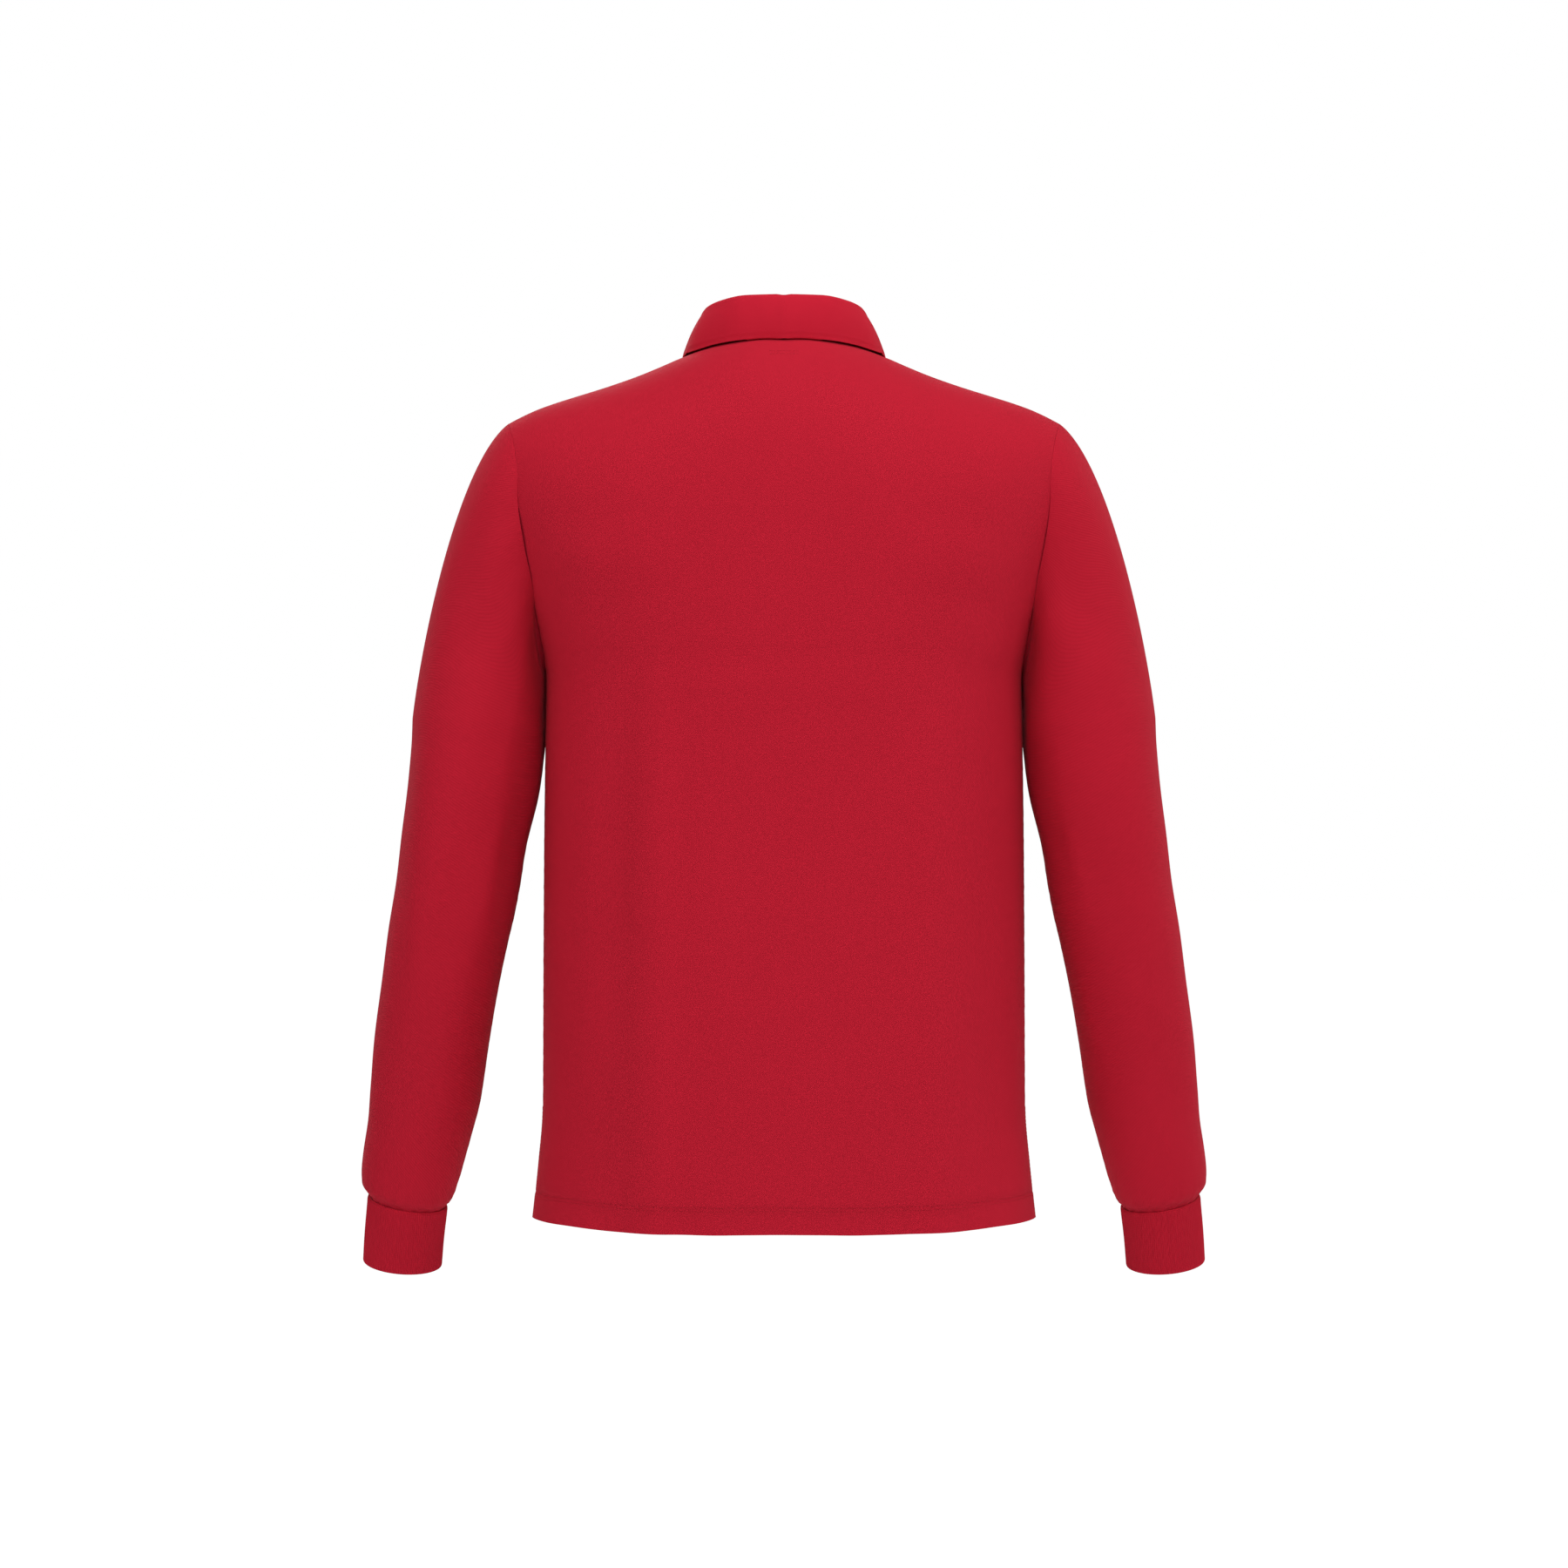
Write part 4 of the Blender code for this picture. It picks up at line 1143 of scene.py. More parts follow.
    def grid(self, seam: Array, outward: Array, angles: Array) -> Array:
        """The left sleeve's outer face as rings from the armhole to the cuff seam.

        Args:
            seam: the armhole's points.
            outward: the way out of the panels there.
            angles: the angle round the arm at each point.

        Returns:
            The points, rings by columns.
        """
        way = self.leaving(seam, outward)
        start = seam + unit(way + outward) * self.form.seam_gap * 0.6
        first = SLEEVE[0].z
        end, down = self.ring(first, angles), self.axes(first)[0]
        span = np.linalg.norm(end - start, axis=1, keepdims=True)
        rings = []
        near = edge_steps(*self.NEAR_ARMHOLE)
        for t in np.concatenate([near, np.linspace(near[-1] + 0.012, 1.0, self.cap_rows, endpoint=False)]):
            from_start, from_end = hermite_weights(t)
            leave, arrive = way * span * self.leave, down * span * self.arrive
            rings.append(from_start[0] * start + from_start[1] * leave + from_end[0] * end + from_end[1] * arrive)
        last = SLEEVE[-1].z
        near_cuff = last + edge_steps(*self.NEAR_CUFF)[::-1]
        levels = np.linspace(first, near_cuff[0] + 0.002, self.arm_rows)
        for z in np.concatenate([levels, near_cuff]):
            rings.append(self.ring(z, angles) + self.tilt(angles, z - last, self.tilt_reach))
        return self.hung(np.array(rings), angles)

    def tilt(self, angles: Array, away: float, reach: float) -> Array:
        """How far the slanting cuff seam takes the cloth down the arm at each angle, fading over a reach.

        Args:
            angles: angles round the arm.
            away: the distance from the seam.
            reach: where the slant has faded out.

        Returns:
            A shift at each angle.
        """
        inner = ((1 - np.cos(angles)) / 2) ** 1.5
        drop = (self.seam_drop + self.seam_tilt * inner) * smooth_step(1 - away / reach)
        return drop[:, None] * self.axes(SLEEVE[-1].z)[0]

    def hung(self, grid: Array, angles: Array) -> Array:
        """The sleeve's rings, with its inner side laid against the body's side below the armpit.

        Args:
            grid: the sleeve's points.
            angles: the angle of each column.

        Returns:
            The points, moved out where they would lie in the body.
        """
        form = self.form
        x, y, z = grid[..., 0], grid[..., 1], grid[..., 2]
        depth = np.where(y >= 0, through(TORSO, "back_depth", z), through(TORSO, "front_depth", z))
        section = np.clip(1 - (np.abs(y) / depth) ** form.power, 0.0, 1.0) ** (1 / form.power)
        size = self.hang_start + (1 - self.hang_start) * smooth_step((form.armpit_z - z) / self.hang_drop)
        apart = x - through(TORSO, "half_width", z) * section - self.hang_gap * size
        moved = (np.sqrt(apart**2 + (self.hang_ease * size) ** 2) - apart) / 2
        held = smooth_step(run_length(grid, 0) / 0.003) * smooth_step((form.armpit_z - z) / 0.0015)
        grid[..., 0] = x + moved * held * smooth_step(-np.cos(angles) * 12.0)
        return grid

    def fold_lift(self, grid: Array, angles: Array, sleeve: int) -> Array:
        """How far one sleeve's soft folds and finer creases lift or sink each point.

        Args:
            grid: the sleeve's points.
            angles: the angle of each column.
            sleeve: 1 for the left sleeve, -1 for the right one.

        Returns:
            The lift at each point.
        """
        lift = np.zeros(grid.shape[:2])
        for fold in SLEEVE_FOLDS + SLEEVE_CREASES:
            if fold.sleeves == -sleeve:
                continue
            centre = fold.around + fold.slant * (grid[..., 2] - fold.z)
            away = (np.degrees(angles) - centre + 180.0) % 360.0 - 180.0
            lift += fold.height * bump(grid[..., 2] - fold.z, fold.half_height) * bump(away, fold.reach)
        return lift

    def sewn_lift(self, flat: Array, seam_z: Array, rows: int) -> Array:
        """How far the armhole seam, the underarm seam and the cuff's easing draw the cloth in or swell it.

        Args:
            flat: the sleeve's flat places.
            seam_z: the armhole's height at each column.
            rows: the column of the underarm seam.

        Returns:
            The lift at each point.
        """
        across, down = flat[..., 0], flat[..., 1]
        to_cuff, underarm = down[-1:] - down, np.abs(across - across[:, rows : rows + 1])
        drawn, easing = self.form.seam_draw(seam_z), self.easing
        lift = drawn * (groove(down, *self.armhole_groove) + 0.0004 * bump(down - 0.0085, 0.006))
        lift += self.armhole_pucker.lift(across, down, drawn)
        lift += groove(underarm, *self.underarm_groove) + self.underarm_pucker.lift(down, underarm)
        eased = smooth_step((easing.reach - to_cuff) / 0.024)
        lift += easing.height * uneven(across, easing.pitch, easing.phase) * eased + groove(to_cuff, *self.cuff_groove)
        lift -= self.end_draw * smooth_step((self.end_reach - to_cuff) / self.end_reach)
        return lift

    def cloths(self, smooth: dict[Side, Cloth], rows: int) -> tuple[Cloth, Cloth]:
        """Both sleeves as cloth, from the armhole to the cuff.

        Args:
            smooth: the smooth body panels.
            rows: how many rows of them the armhole takes.

        Returns:
            The left and the right sleeve.
        """
        back, front = smooth[Side.BACK], smooth[Side.FRONT]
        outward = unit(self.armhole(back.outward, front.outward, rows))
        seam = self.armhole(back.points, front.points, rows)
        angles = self.angles(seam, rows)
        grid = self.grid(seam, outward, angles)
        normals = -grid_normals(grid, True)
        down, _, _ = self.axes(SLEEVE[-1].z)
        spokes = grid[-1] - self.tilt(angles, 0.0, 1.0) - self.centre(SLEEVE[-1].z)
        normals[-1] = unit(spokes - (spokes @ down)[:, None] * down)
        normals[0] = unit(outward + normals[0])
        flat = flat_places(grid)
        plain, sewn = Cloth(grid, normals, flat, self.wall, True), self.sewn_lift(flat, seam[:, 2], rows)
        left, right = (plain.lifted(self.fold_lift(grid, angles, sleeve) + sewn) for sleeve in (1, -1))
        return left, right.reflected()

    def dress(self, cloths: tuple[Cloth, Cloth], material: bpy.types.Material) -> None:
        """Args:
            cloths: the left and the right sleeve.
            material: the pique.
        """
        for name, cloth in zip(("left", "right"), cloths):
            made = cloth.build(f"sleeve_{name}_cloth", material)
            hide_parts(f"sleeve_{name}")


# ---------------------------------------------------------------- cuffs
@dataclass
class Cuffs:
    """Both cuffs, a tube of ribbed knit each; Geometry Nodes raise the ribs on a plain tube."""

    sleeves: Sleeves
    length: float = 0.0555
    half_width: float = 0.0326
    half_depth: float = 0.0345
    narrowing: float = 0.0006
    top_draw: float = 0.0009
    top_reach: float = 0.0022
    tilt_reach: float = 0.034
    slack: float = 0.00035
    wall: float = 0.0020
    ribs: int = 120
    relief: float = 0.00045
    crown: float = 0.62
    columns_per_rib: int = 8
    rows: int = 13
    flat: tuple[float, float] = (0.212, 0.056)

    NEAR_END = (0.0006, 1.6, 0.004)

    def plain_tube(self) -> Cloth:
        """The left cuff with no ribs, its upper end against the sleeve.

        Returns:
            The cuff's outer face as cloth.
        """
        down, out, back = self.sleeves.axes(SLEEVE[-1].z)
        angles = around(self.ribs * self.columns_per_rib)
        spokes = np.cos(angles)[:, None] * out + np.sin(angles)[:, None] * back
        rings = []
        near = edge_steps(*self.NEAR_END)
        levels = np.concatenate([near, np.linspace(0.008, self.length - 0.006, self.rows), self.length - near[::-1]])
        for along in levels:
            at_top = smooth_step((self.top_reach - along) / self.top_reach)
            narrower = self.narrowing * along / self.length + self.top_draw * at_top
            wide, deep = self.half_width - narrower, self.half_depth - narrower
            middle = self.sleeves.centre(SLEEVE[-1].z) + down * max(along, 0.0001)
            slack = self.slack * np.sin(3 * angles + 1.3) * bump(along - self.length * 0.6, self.length * 0.5)
            round_it = np.cos(angles)[:, None] * wide * out + np.sin(angles)[:, None] * deep * back
            slanted = self.sleeves.tilt(angles, along, self.tilt_reach)
            rings.append(middle + round_it + spokes * slack[:, None] + slanted)
        grid = np.array(rings)
        return Cloth(grid, np.broadcast_to(spokes, grid.shape).copy(), flat_places(grid), self.wall, True)

    def rib_tree(self) -> bpy.types.NodeTree:
        """Nodes that raise ribs on the outer face of a tube, from each point's place round it.

        Returns:
            The tree.
        """
        tree = NodeBuilder.geometry("ribs round a cuff")
        tree.socket("Rib Count", "NodeSocketFloat", 120.0)
        tree.socket("Relief", "NodeSocketFloat", 0.0004)
        tree.socket("Finish", "NodeSocketMaterial")
        given = tree.add("NodeGroupInput")
        round_share = tree.attribute("round_share", "FLOAT")
        face = tree.attribute("outer_face", "FLOAT")
        way = tree.attribute("way_out", "FLOAT_VECTOR")
        turns = tree.math("MULTIPLY", round_share, given.outputs["Rib Count"])
        wave = tree.math("MULTIPLY_ADD", tree.wave(turns), 0.5, 0.5)
        crown = tree.math("POWER", wave, self.crown)
        height = tree.math("MULTIPLY", tree.math("SUBTRACT", crown, 0.5), given.outputs["Relief"])
        offset = tree.add("ShaderNodeVectorMath", {"operation": "SCALE"}, {
            0: way, "Scale": tree.math("MULTIPLY", height, face),
        })
        moved = tree.add("GeometryNodeSetPosition", None, {
            "Geometry": given.outputs["Geometry"], "Offset": offset.outputs["Vector"],
        })
        return tree.finished(moved.outputs["Geometry"], given.outputs["Finish"])

    def dress(self, material: bpy.types.Material) -> None:
        """Args:
            material: the ribbed knit.
        """
        plain, tree = self.plain_tube(), self.rib_tree()
        rows, count = plain.points.shape[:2]
        level = np.repeat(np.arange(rows), count)
        ribbed = np.where((level == 0) | (level == rows - 1), 0.0, 1.0)
        for name, cloth in (("left", plain), ("right", plain.reflected())):
            made = cloth.build(f"cuff_{name}_rib", material, 0.0)
            give(made, "round_share", "FLOAT", np.tile(np.arange(count) / count, rows * 2))
            give(made, "outer_face", "FLOAT", np.concatenate([ribbed, np.zeros(rows * count)]))
            give(made, "way_out", "FLOAT_VECTOR", np.concatenate([cloth.outward] * 2))
            run_tree(made, tree, {"Rib Count": float(self.ribs), "Relief": self.relief, "Finish": material})
            made.data.shade_smooth()
            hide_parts(f"cuff_{name}")


# ---------------------------------------------------------------- collar
@dataclass
class Collar:
    """The collar, one strip of flat knit turned over on itself: stand, fold and leaf."""

    form: TorsoForm
    wall: float = 0.0018
    rim: float = 0.0004
    fold_radius: float = 0.0034
    bow: float = 0.0020
    rest: float = 0.0010
    rise: float = 0.03
    tuck_down: float = 0.0010
    tuck_in: float = 0.0015
    leaf_drop: float = 0.0009
    leaf_wave: Pucker = Pucker(0.0003, 37.0, 0.5, 60.0)
    edge_thinning: float = 0.0010
    edge_roll: float = 0.0028
    edge_tuck: float = 0.0006
    edge_rest: float = 0.0001
    edge_turn: float = 0.0028
    turn_reach: float = 0.0060
    shoulder_drop: float = 0.020
    clear: float = 0.0038
    steps: int = 110
    stand_rows: int = 9
    fold_rows: int = 10
    fold_turn: tuple[float, float] = (168.0, 14.0)
    leaf_rows: int = 26
    leaf_reach: float = 110.0
    dip: float = 0.0008
    dip_half_width: float = 0.006
    welt: tuple[float, float, float] = (0.00022, 0.0022, 0.0026)
    end_welt: tuple[float, float, float] = (0.00018, 0.002, 0.0024)
    welt_groove: tuple[float, float, float] = (0.0052, 0.0014, 0.00018)
    flat: tuple[float, float] = (0.43, 0.100)

    EDGE_ROWS = (0.955, 0.972, 0.986, 1.0)

    def section(self, angle: float, seam_point: Array) -> list[Array]:
        """The middle of the wall across one section: up the stand, over the fold, down the leaf.

        Args:
            angle: round the neck from the middle of the back, in degrees.
            seam_point: the panels' top edge there.

        Returns:
            The section's points.
        """
        fold, edge = (
            np.array([float(through(COLLAR, f"{line}_{axis}", angle)) for axis in "xyz"]) for line in ("fold", "edge")
        )
        fold[2] -= self.dip * float(bump(fold[0], self.dip_half_width))
        at_back = bump(angle, self.leaf_reach)
        edge[2] -= self.leaf_drop * at_back + 0.0004 * bump(angle - 48.0, 30.0)
        edge[2] += self.leaf_wave.lift(angle, angle - 75.0)
        away = unit((edge - fold) * np.array([1.0, 1.0, 0.0]))
        edge -= away * self.edge_tuck * at_back
        up = np.array([0.0, 0.0, 1.0])
        foot = seam_point - up * self.tuck_down - away * (self.wall / 2 + self.tuck_in)
        foot[0] = max(foot[0], COLLAR[-1].fold_x)
        middle = fold - up * self.fold_radius
        stand_top = middle - away * self.fold_radius
        stand = [foot + (stand_top - foot) * t for t in np.linspace(0.0, 1.0, self.stand_rows)]
        turns = np.radians(np.linspace(*self.fold_turn, self.fold_rows))
        turned = [middle + (away * np.cos(a) + up * np.sin(a)) * self.fold_radius for a in turns]
        start = middle + away * self.fold_radius * 1.05
        bow = unit(away * 0.9 + up * 0.5) * self.bow
        down = np.concatenate([np.linspace(0.0, 0.93, self.leaf_rows), self.EDGE_ROWS])
        leaf = [start + (edge - start) * t + bow * 4 * t * (1 - t) for t in down]
        return stand + turned + leaf

    def lay_leaf(self, grid: Array, first_column: int) -> None:
        """Moves the leaf's points up off the shoulders and out from the panels, where they come too near.

        Args:
            grid: half the collar's points, which it changes.
            first_column: the leaf's first column.
        """
        form, leaf = self.form, grid[:, first_column:]
        x, y, z = leaf[..., 0], leaf[..., 1], leaf[..., 2]
        surface = form.over(x, y)
        drop = form.ridge_z(x) - surface
        on_shoulder = 1 - smooth_step((drop - self.shoulder_drop * 0.75) / (self.shoulder_drop * 0.5))
        raised = np.maximum(z, surface + self.rest + self.rise * drop)
        leaf[..., 2] = z + (raised - z) * on_shoulder
        face = np.where(y >= 0, form.y(Side.BACK, x, z), -form.y(Side.FRONT, x, z))
        pushed = np.sign(y) * np.maximum(np.abs(y), face + self.clear)
        leaf[..., 1] = y + (pushed - y) * (1 - on_shoulder)

    def turned_in(self, grid: Array) -> Array:
        """Half the collar's points, with the leaf's edge turned in until it all but rests on the back panel.

        Args:
            grid: half the collar's points.

        Returns:
            The points with the edge turned in.
        """
        along = run_length(grid, 1)
        from_edge = along[:, -1:] - along
        x, y, z = grid[:, -1].T
        face, above = self.form.y(Side.BACK, x, z), self.form.y(Side.BACK, x, z + 0.001)
        clear = (y - face) / np.sqrt(1 + ((above - face) / 0.001) ** 2) - self.wall / 2
        at_back = smooth_step((88.0 - np.linspace(0.0, 180.0, len(grid))) / 25.0)
        turn = (np.clip(clear - self.edge_rest, 0.0, self.edge_turn) * at_back)[:, None]
        return grid - grid_normals(grid, False) * (turn * smooth_step(1 - from_edge / self.turn_reach))[..., None]

    def cloth(self, edges: dict[Side, Array]) -> Cloth:
        """The collar as cloth, from its right end round the back to its left end.

        Args:
            edges: the two panels' top edges.

        Returns:
            The collar.
        """
        half = []
        for angle in np.linspace(0.0, 180.0, self.steps + 1):
            edge = edges[Side.BACK] if angle <= 90.0 else edges[Side.FRONT]
            x = self.form.neck_x * np.sin(np.radians(angle))
            seam_point = np.array([np.interp(x, edge[:, 0], edge[:, k]) for k in range(3)])
            half.append(self.section(angle, seam_point))
        half = np.array(half)
        self.lay_leaf(half, self.stand_rows + self.fold_rows)
        half = self.turned_in(half)
        middle = np.concatenate([mirrored(half[1:][::-1]), half])
        outward = grid_normals(middle, False)
        flat = flat_places(middle)
        from_edge = flat[:, -1:, 0] - flat[..., 0]
        from_end = np.minimum(flat[..., 1], flat[-1:, :, 1] - flat[..., 1])
        beside, half_width, depth = self.welt_groove
        height, inset, reach = self.welt
        end_height, end_inset, end_reach = self.end_welt
        welt = height * bump(from_edge - inset, reach) + groove(np.abs(from_edge - beside), half_width, depth)
        welt += end_height * bump(from_end - end_inset, end_reach)
        thinner = self.edge_thinning * smooth_step(1 - from_edge / self.edge_roll)[..., None]
        outer = middle + outward * (self.wall / 2 - thinner)
        return Cloth(outer, outward, flat, self.wall - thinner).lifted(welt)

    def dress(self, cloth: Cloth, material: bpy.types.Material) -> None:
        """Args:
            cloth: the collar.
            material: the flat knit.
        """
        made = cloth.build("collar_knit_strip", material, self.rim)
        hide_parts("collar")


# ---------------------------------------------------------------- placket and buttons
@dataclass
class Placket:
    """The two plackets in and over the front's opening."""

    body: Body
    lap: float = 0.003
    wall: float = 0.0012
    rim: float = 0.0004
    reach: int = 12
    stitch_in: float = 0.0024
    foot_band: float = 0.0204
    stitch_groove: tuple[float, float] = (0.0016, 0.0003)
    pucker: Pucker = Pucker(0.00012, 0.010, 0.6, 0.006)
    flat_under: tuple[float, float] = (0.030, 0.150)
    flat_upper: tuple[float, float] = (0.036, 0.154)
    under_grid: tuple[int, int] = (60, 13)
    upper_grid: tuple[int, int] = (66, 15)

    NEAR_FOOT = (0.0006, 1.5, 0.004)

    def strip(self, front: Cloth, rows: Array, xs: Array, out: float) -> Cloth:
        """A strip that follows the front panel's own points.

        Args:
            front: the front panel.
            rows: fractional rows of it.
            xs: places along X.
            out: how far the strip lies out from the panel's outer face.

        Returns:
            The strip as cloth.
        """
        near = np.arange(front.middle - self.reach, front.middle + self.reach + 1)
        found = []
        for row in rows:
            low = min(int(row), len(front.points) - 2)
            line = front.points[low] * (1 - row + low) + front.points[low + 1] * (row - low)
            found.append(front.at(row, np.interp(xs, line[near, 0], near), out))
        grid, outward = (np.array(values) for values in zip(*found))
        return Cloth(grid, outward, flat_places(grid), self.wall)

    def cloths(self, front: Cloth) -> tuple[Cloth, Cloth]:
        """The under and the upper placket as cloth.

        Args:
            front: the smooth front panel.

        Returns:
            The under and the upper placket.
        """
        body, foot, top = self.body, self.body.foot_row(), len(front.points) - 1
        gap, half = body.form.seam_gap, body.placket_half
        below, at_foot = front.points[foot - 1 : foot + 1, front.middle, 2]
        row_height = at_foot - below
        inside = half - gap * 0.5
        count, columns = self.under_grid
        rows = np.linspace(foot + gap / row_height, top, count)
        under = self.strip(front, rows, np.linspace(-inside, inside, columns), 0.0)
        lap = half + self.lap
        start = foot - self.lap / row_height
        count, columns = self.upper_grid
        near_foot = start + edge_steps(*self.NEAR_FOOT) / row_height
        rows = np.concatenate([near_foot, np.linspace(start + 0.006 / row_height, top, count)])
        near = edge_steps(*NEAR_EDGE)
        xs = np.concatenate([-lap + near, np.linspace(-lap + 0.0062, lap - 0.0062, columns), lap - near[::-1]])
        upper = self.strip(front, rows, xs, gap * 0.4 + self.wall)
        return under, upper.lifted(self.stitched(upper.flat[..., 0], upper.flat[..., 1]))

    def stitched(self, across: Array, up: Array) -> Array:
        """How far the rows of topstitching draw the upper placket in.

        Args:
            across: flat places across the placket.
            up: flat places up it.

        Returns:
            The lift at each point.
        """
        from_side = from_sides(across)

        def dip(away: Array) -> Array:
            """The dip along one row of stitches."""
            return groove(np.abs(away), *self.stitch_groove)

        lift = dip(from_side - self.stitch_in) + dip(up - self.stitch_in)
        lift += dip(up - self.foot_band) * (from_side > 0.002)
        return lift + self.pucker.lift(up, from_side - self.stitch_in)

    def dress(self, under: Cloth, upper: Cloth, material: bpy.types.Material) -> None:
        """Args:
            under: the under placket.
            upper: the upper one.
            material: the pique.
        """
        for cloth, node, flat in ((under, "placket_under", self.flat_under), (upper, "placket_upper", self.flat_upper)):
            made = cloth.build(f"{node}_cloth", material, self.rim)
            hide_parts(node)


@dataclass
class Buttons:
    """Three four-hole resin buttons, each sewn through the upper placket."""

    upper: Cloth
    radius: float = 0.0055
    thickness: float = 0.0024
    stand: float = 0.0008
    hole_radius: float = 0.00085
    hole_out: float = 0.00165
    hole_turns: tuple[int, ...] = (45, 135, 225, 315)
    drill_facets: int = 16
    drill_ends: tuple[float, float] = (-0.002, 0.005)
    facets: int = 48
    sharp_angle: float = 42.0

    PROFILE = (
        (0.60, 0.00), (0.80, 0.02), (0.93, 0.14), (1.00, 0.34), (1.00, 0.66), (0.975, 0.86), (0.92, 0.98),
        (0.84, 1.00), (0.76, 0.93), (0.70, 0.76), (0.64, 0.64), (0.55, 0.60),
    )

    def seat(self, node: str) -> Matrix:
        """The place of a button's underside on the placket, with its own Z as the way out.

        Args:
            node: the button's node.

        Returns:
            The place as a matrix.
        """
        low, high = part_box(node)
        row = self.upper.row_at((low.z + high.z) / 2)
        place, way = self.upper.at(row, np.array([float(self.upper.middle)]), self.stand)
        out = Vector(way[0])
        right = Vector((1.0, 0.0, 0.0))
        up = out.cross(right).normalized()
        matrix = Matrix((right, up, out)).transposed().to_4x4()
        matrix.translation = Vector(place[0])
        return matrix

    def disc(self) -> bpy.types.Mesh:
        """A turned button with a raised rim, a sunk middle and four holes.

        Returns:
            Its mesh, with its underside at the origin.
        """
        profile = [(0.0, 0.0), *self.PROFILE, (0.0, self.PROFILE[-1][1])]
        points, loops = [], []
        for share, height in profile:
            count, radius, z = self.facets if share else 1, share * self.radius, height * self.thickness
            numbers = np.arange(self.facets) % count + len(points)
            loops.append(numbers.tolist())
            points += [(radius * np.cos(a), radius * np.sin(a), z) for a in around(self.facets)[:count]]
        faces = []
        for low, high in zip(loops, loops[1:]):
            for i in range(self.facets):
                j = (i + 1) % self.facets
                faces.append(list(dict.fromkeys([low[i], low[j], high[j], high[i]])))
        disc = linked("button disc", plain_mesh("button disc", points, [], faces))
        drills = []
        for a in np.radians(self.hole_turns):
            drills.append(self.drill(self.hole_out * np.cos(a), self.hole_out * np.sin(a)))
            cut = disc.modifiers.new("hole", "BOOLEAN")
            cut.operation, cut.object = "DIFFERENCE", drills[-1]
        applied(disc)
        made = disc.data
        for helper in (disc, *drills):
            bpy.data.objects.remove(helper, do_unlink=True)
        return made

    def drill(self, x: float, y: float) -> bpy.types.Object:
        """A round cutter for one thread hole.

        Args:
            x: its place along X.
            y: its place along Y.

        Returns:
            The cutter, hidden in renders.
        """
        count, radius = self.drill_facets, self.hole_radius
        ring = [(x + radius * np.cos(a), y + radius * np.sin(a)) for a in around(count)]
        points = [(*p, z) for z in self.drill_ends for p in ring]
        faces = [list(range(count))[::-1], list(range(count, 2 * count))]
        faces += [[i, (i + 1) % count, (i + 1) % count + count, i + count] for i in range(count)]
        made = linked("drill", plain_mesh("drill", points, [], faces))
        made.hide_render = True
        return made

    def dress(self, material: bpy.types.Material) -> list[Matrix]:
        """Builds the buttons in place of their solids.

        Args:
            material: the buttons' resin.

        Returns:
            Each button's seat.
        """
        disc, seats = self.disc(), []
        for i in (1, 2, 3):
            seats.append(self.seat(f"button_{i}"))
            mesh = disc.copy()
            mesh.transform(seats[-1])
            mesh.materials.append(material)
            mesh.shade_smooth()
            mesh.set_sharp_from_angle(angle=np.radians(self.sharp_angle))
            made = placed(f"button_{i}_resin", mesh)
            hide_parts(f"button_{i}")
            log.info("%s: %d faces", made.name, len(mesh.polygons))
        return seats


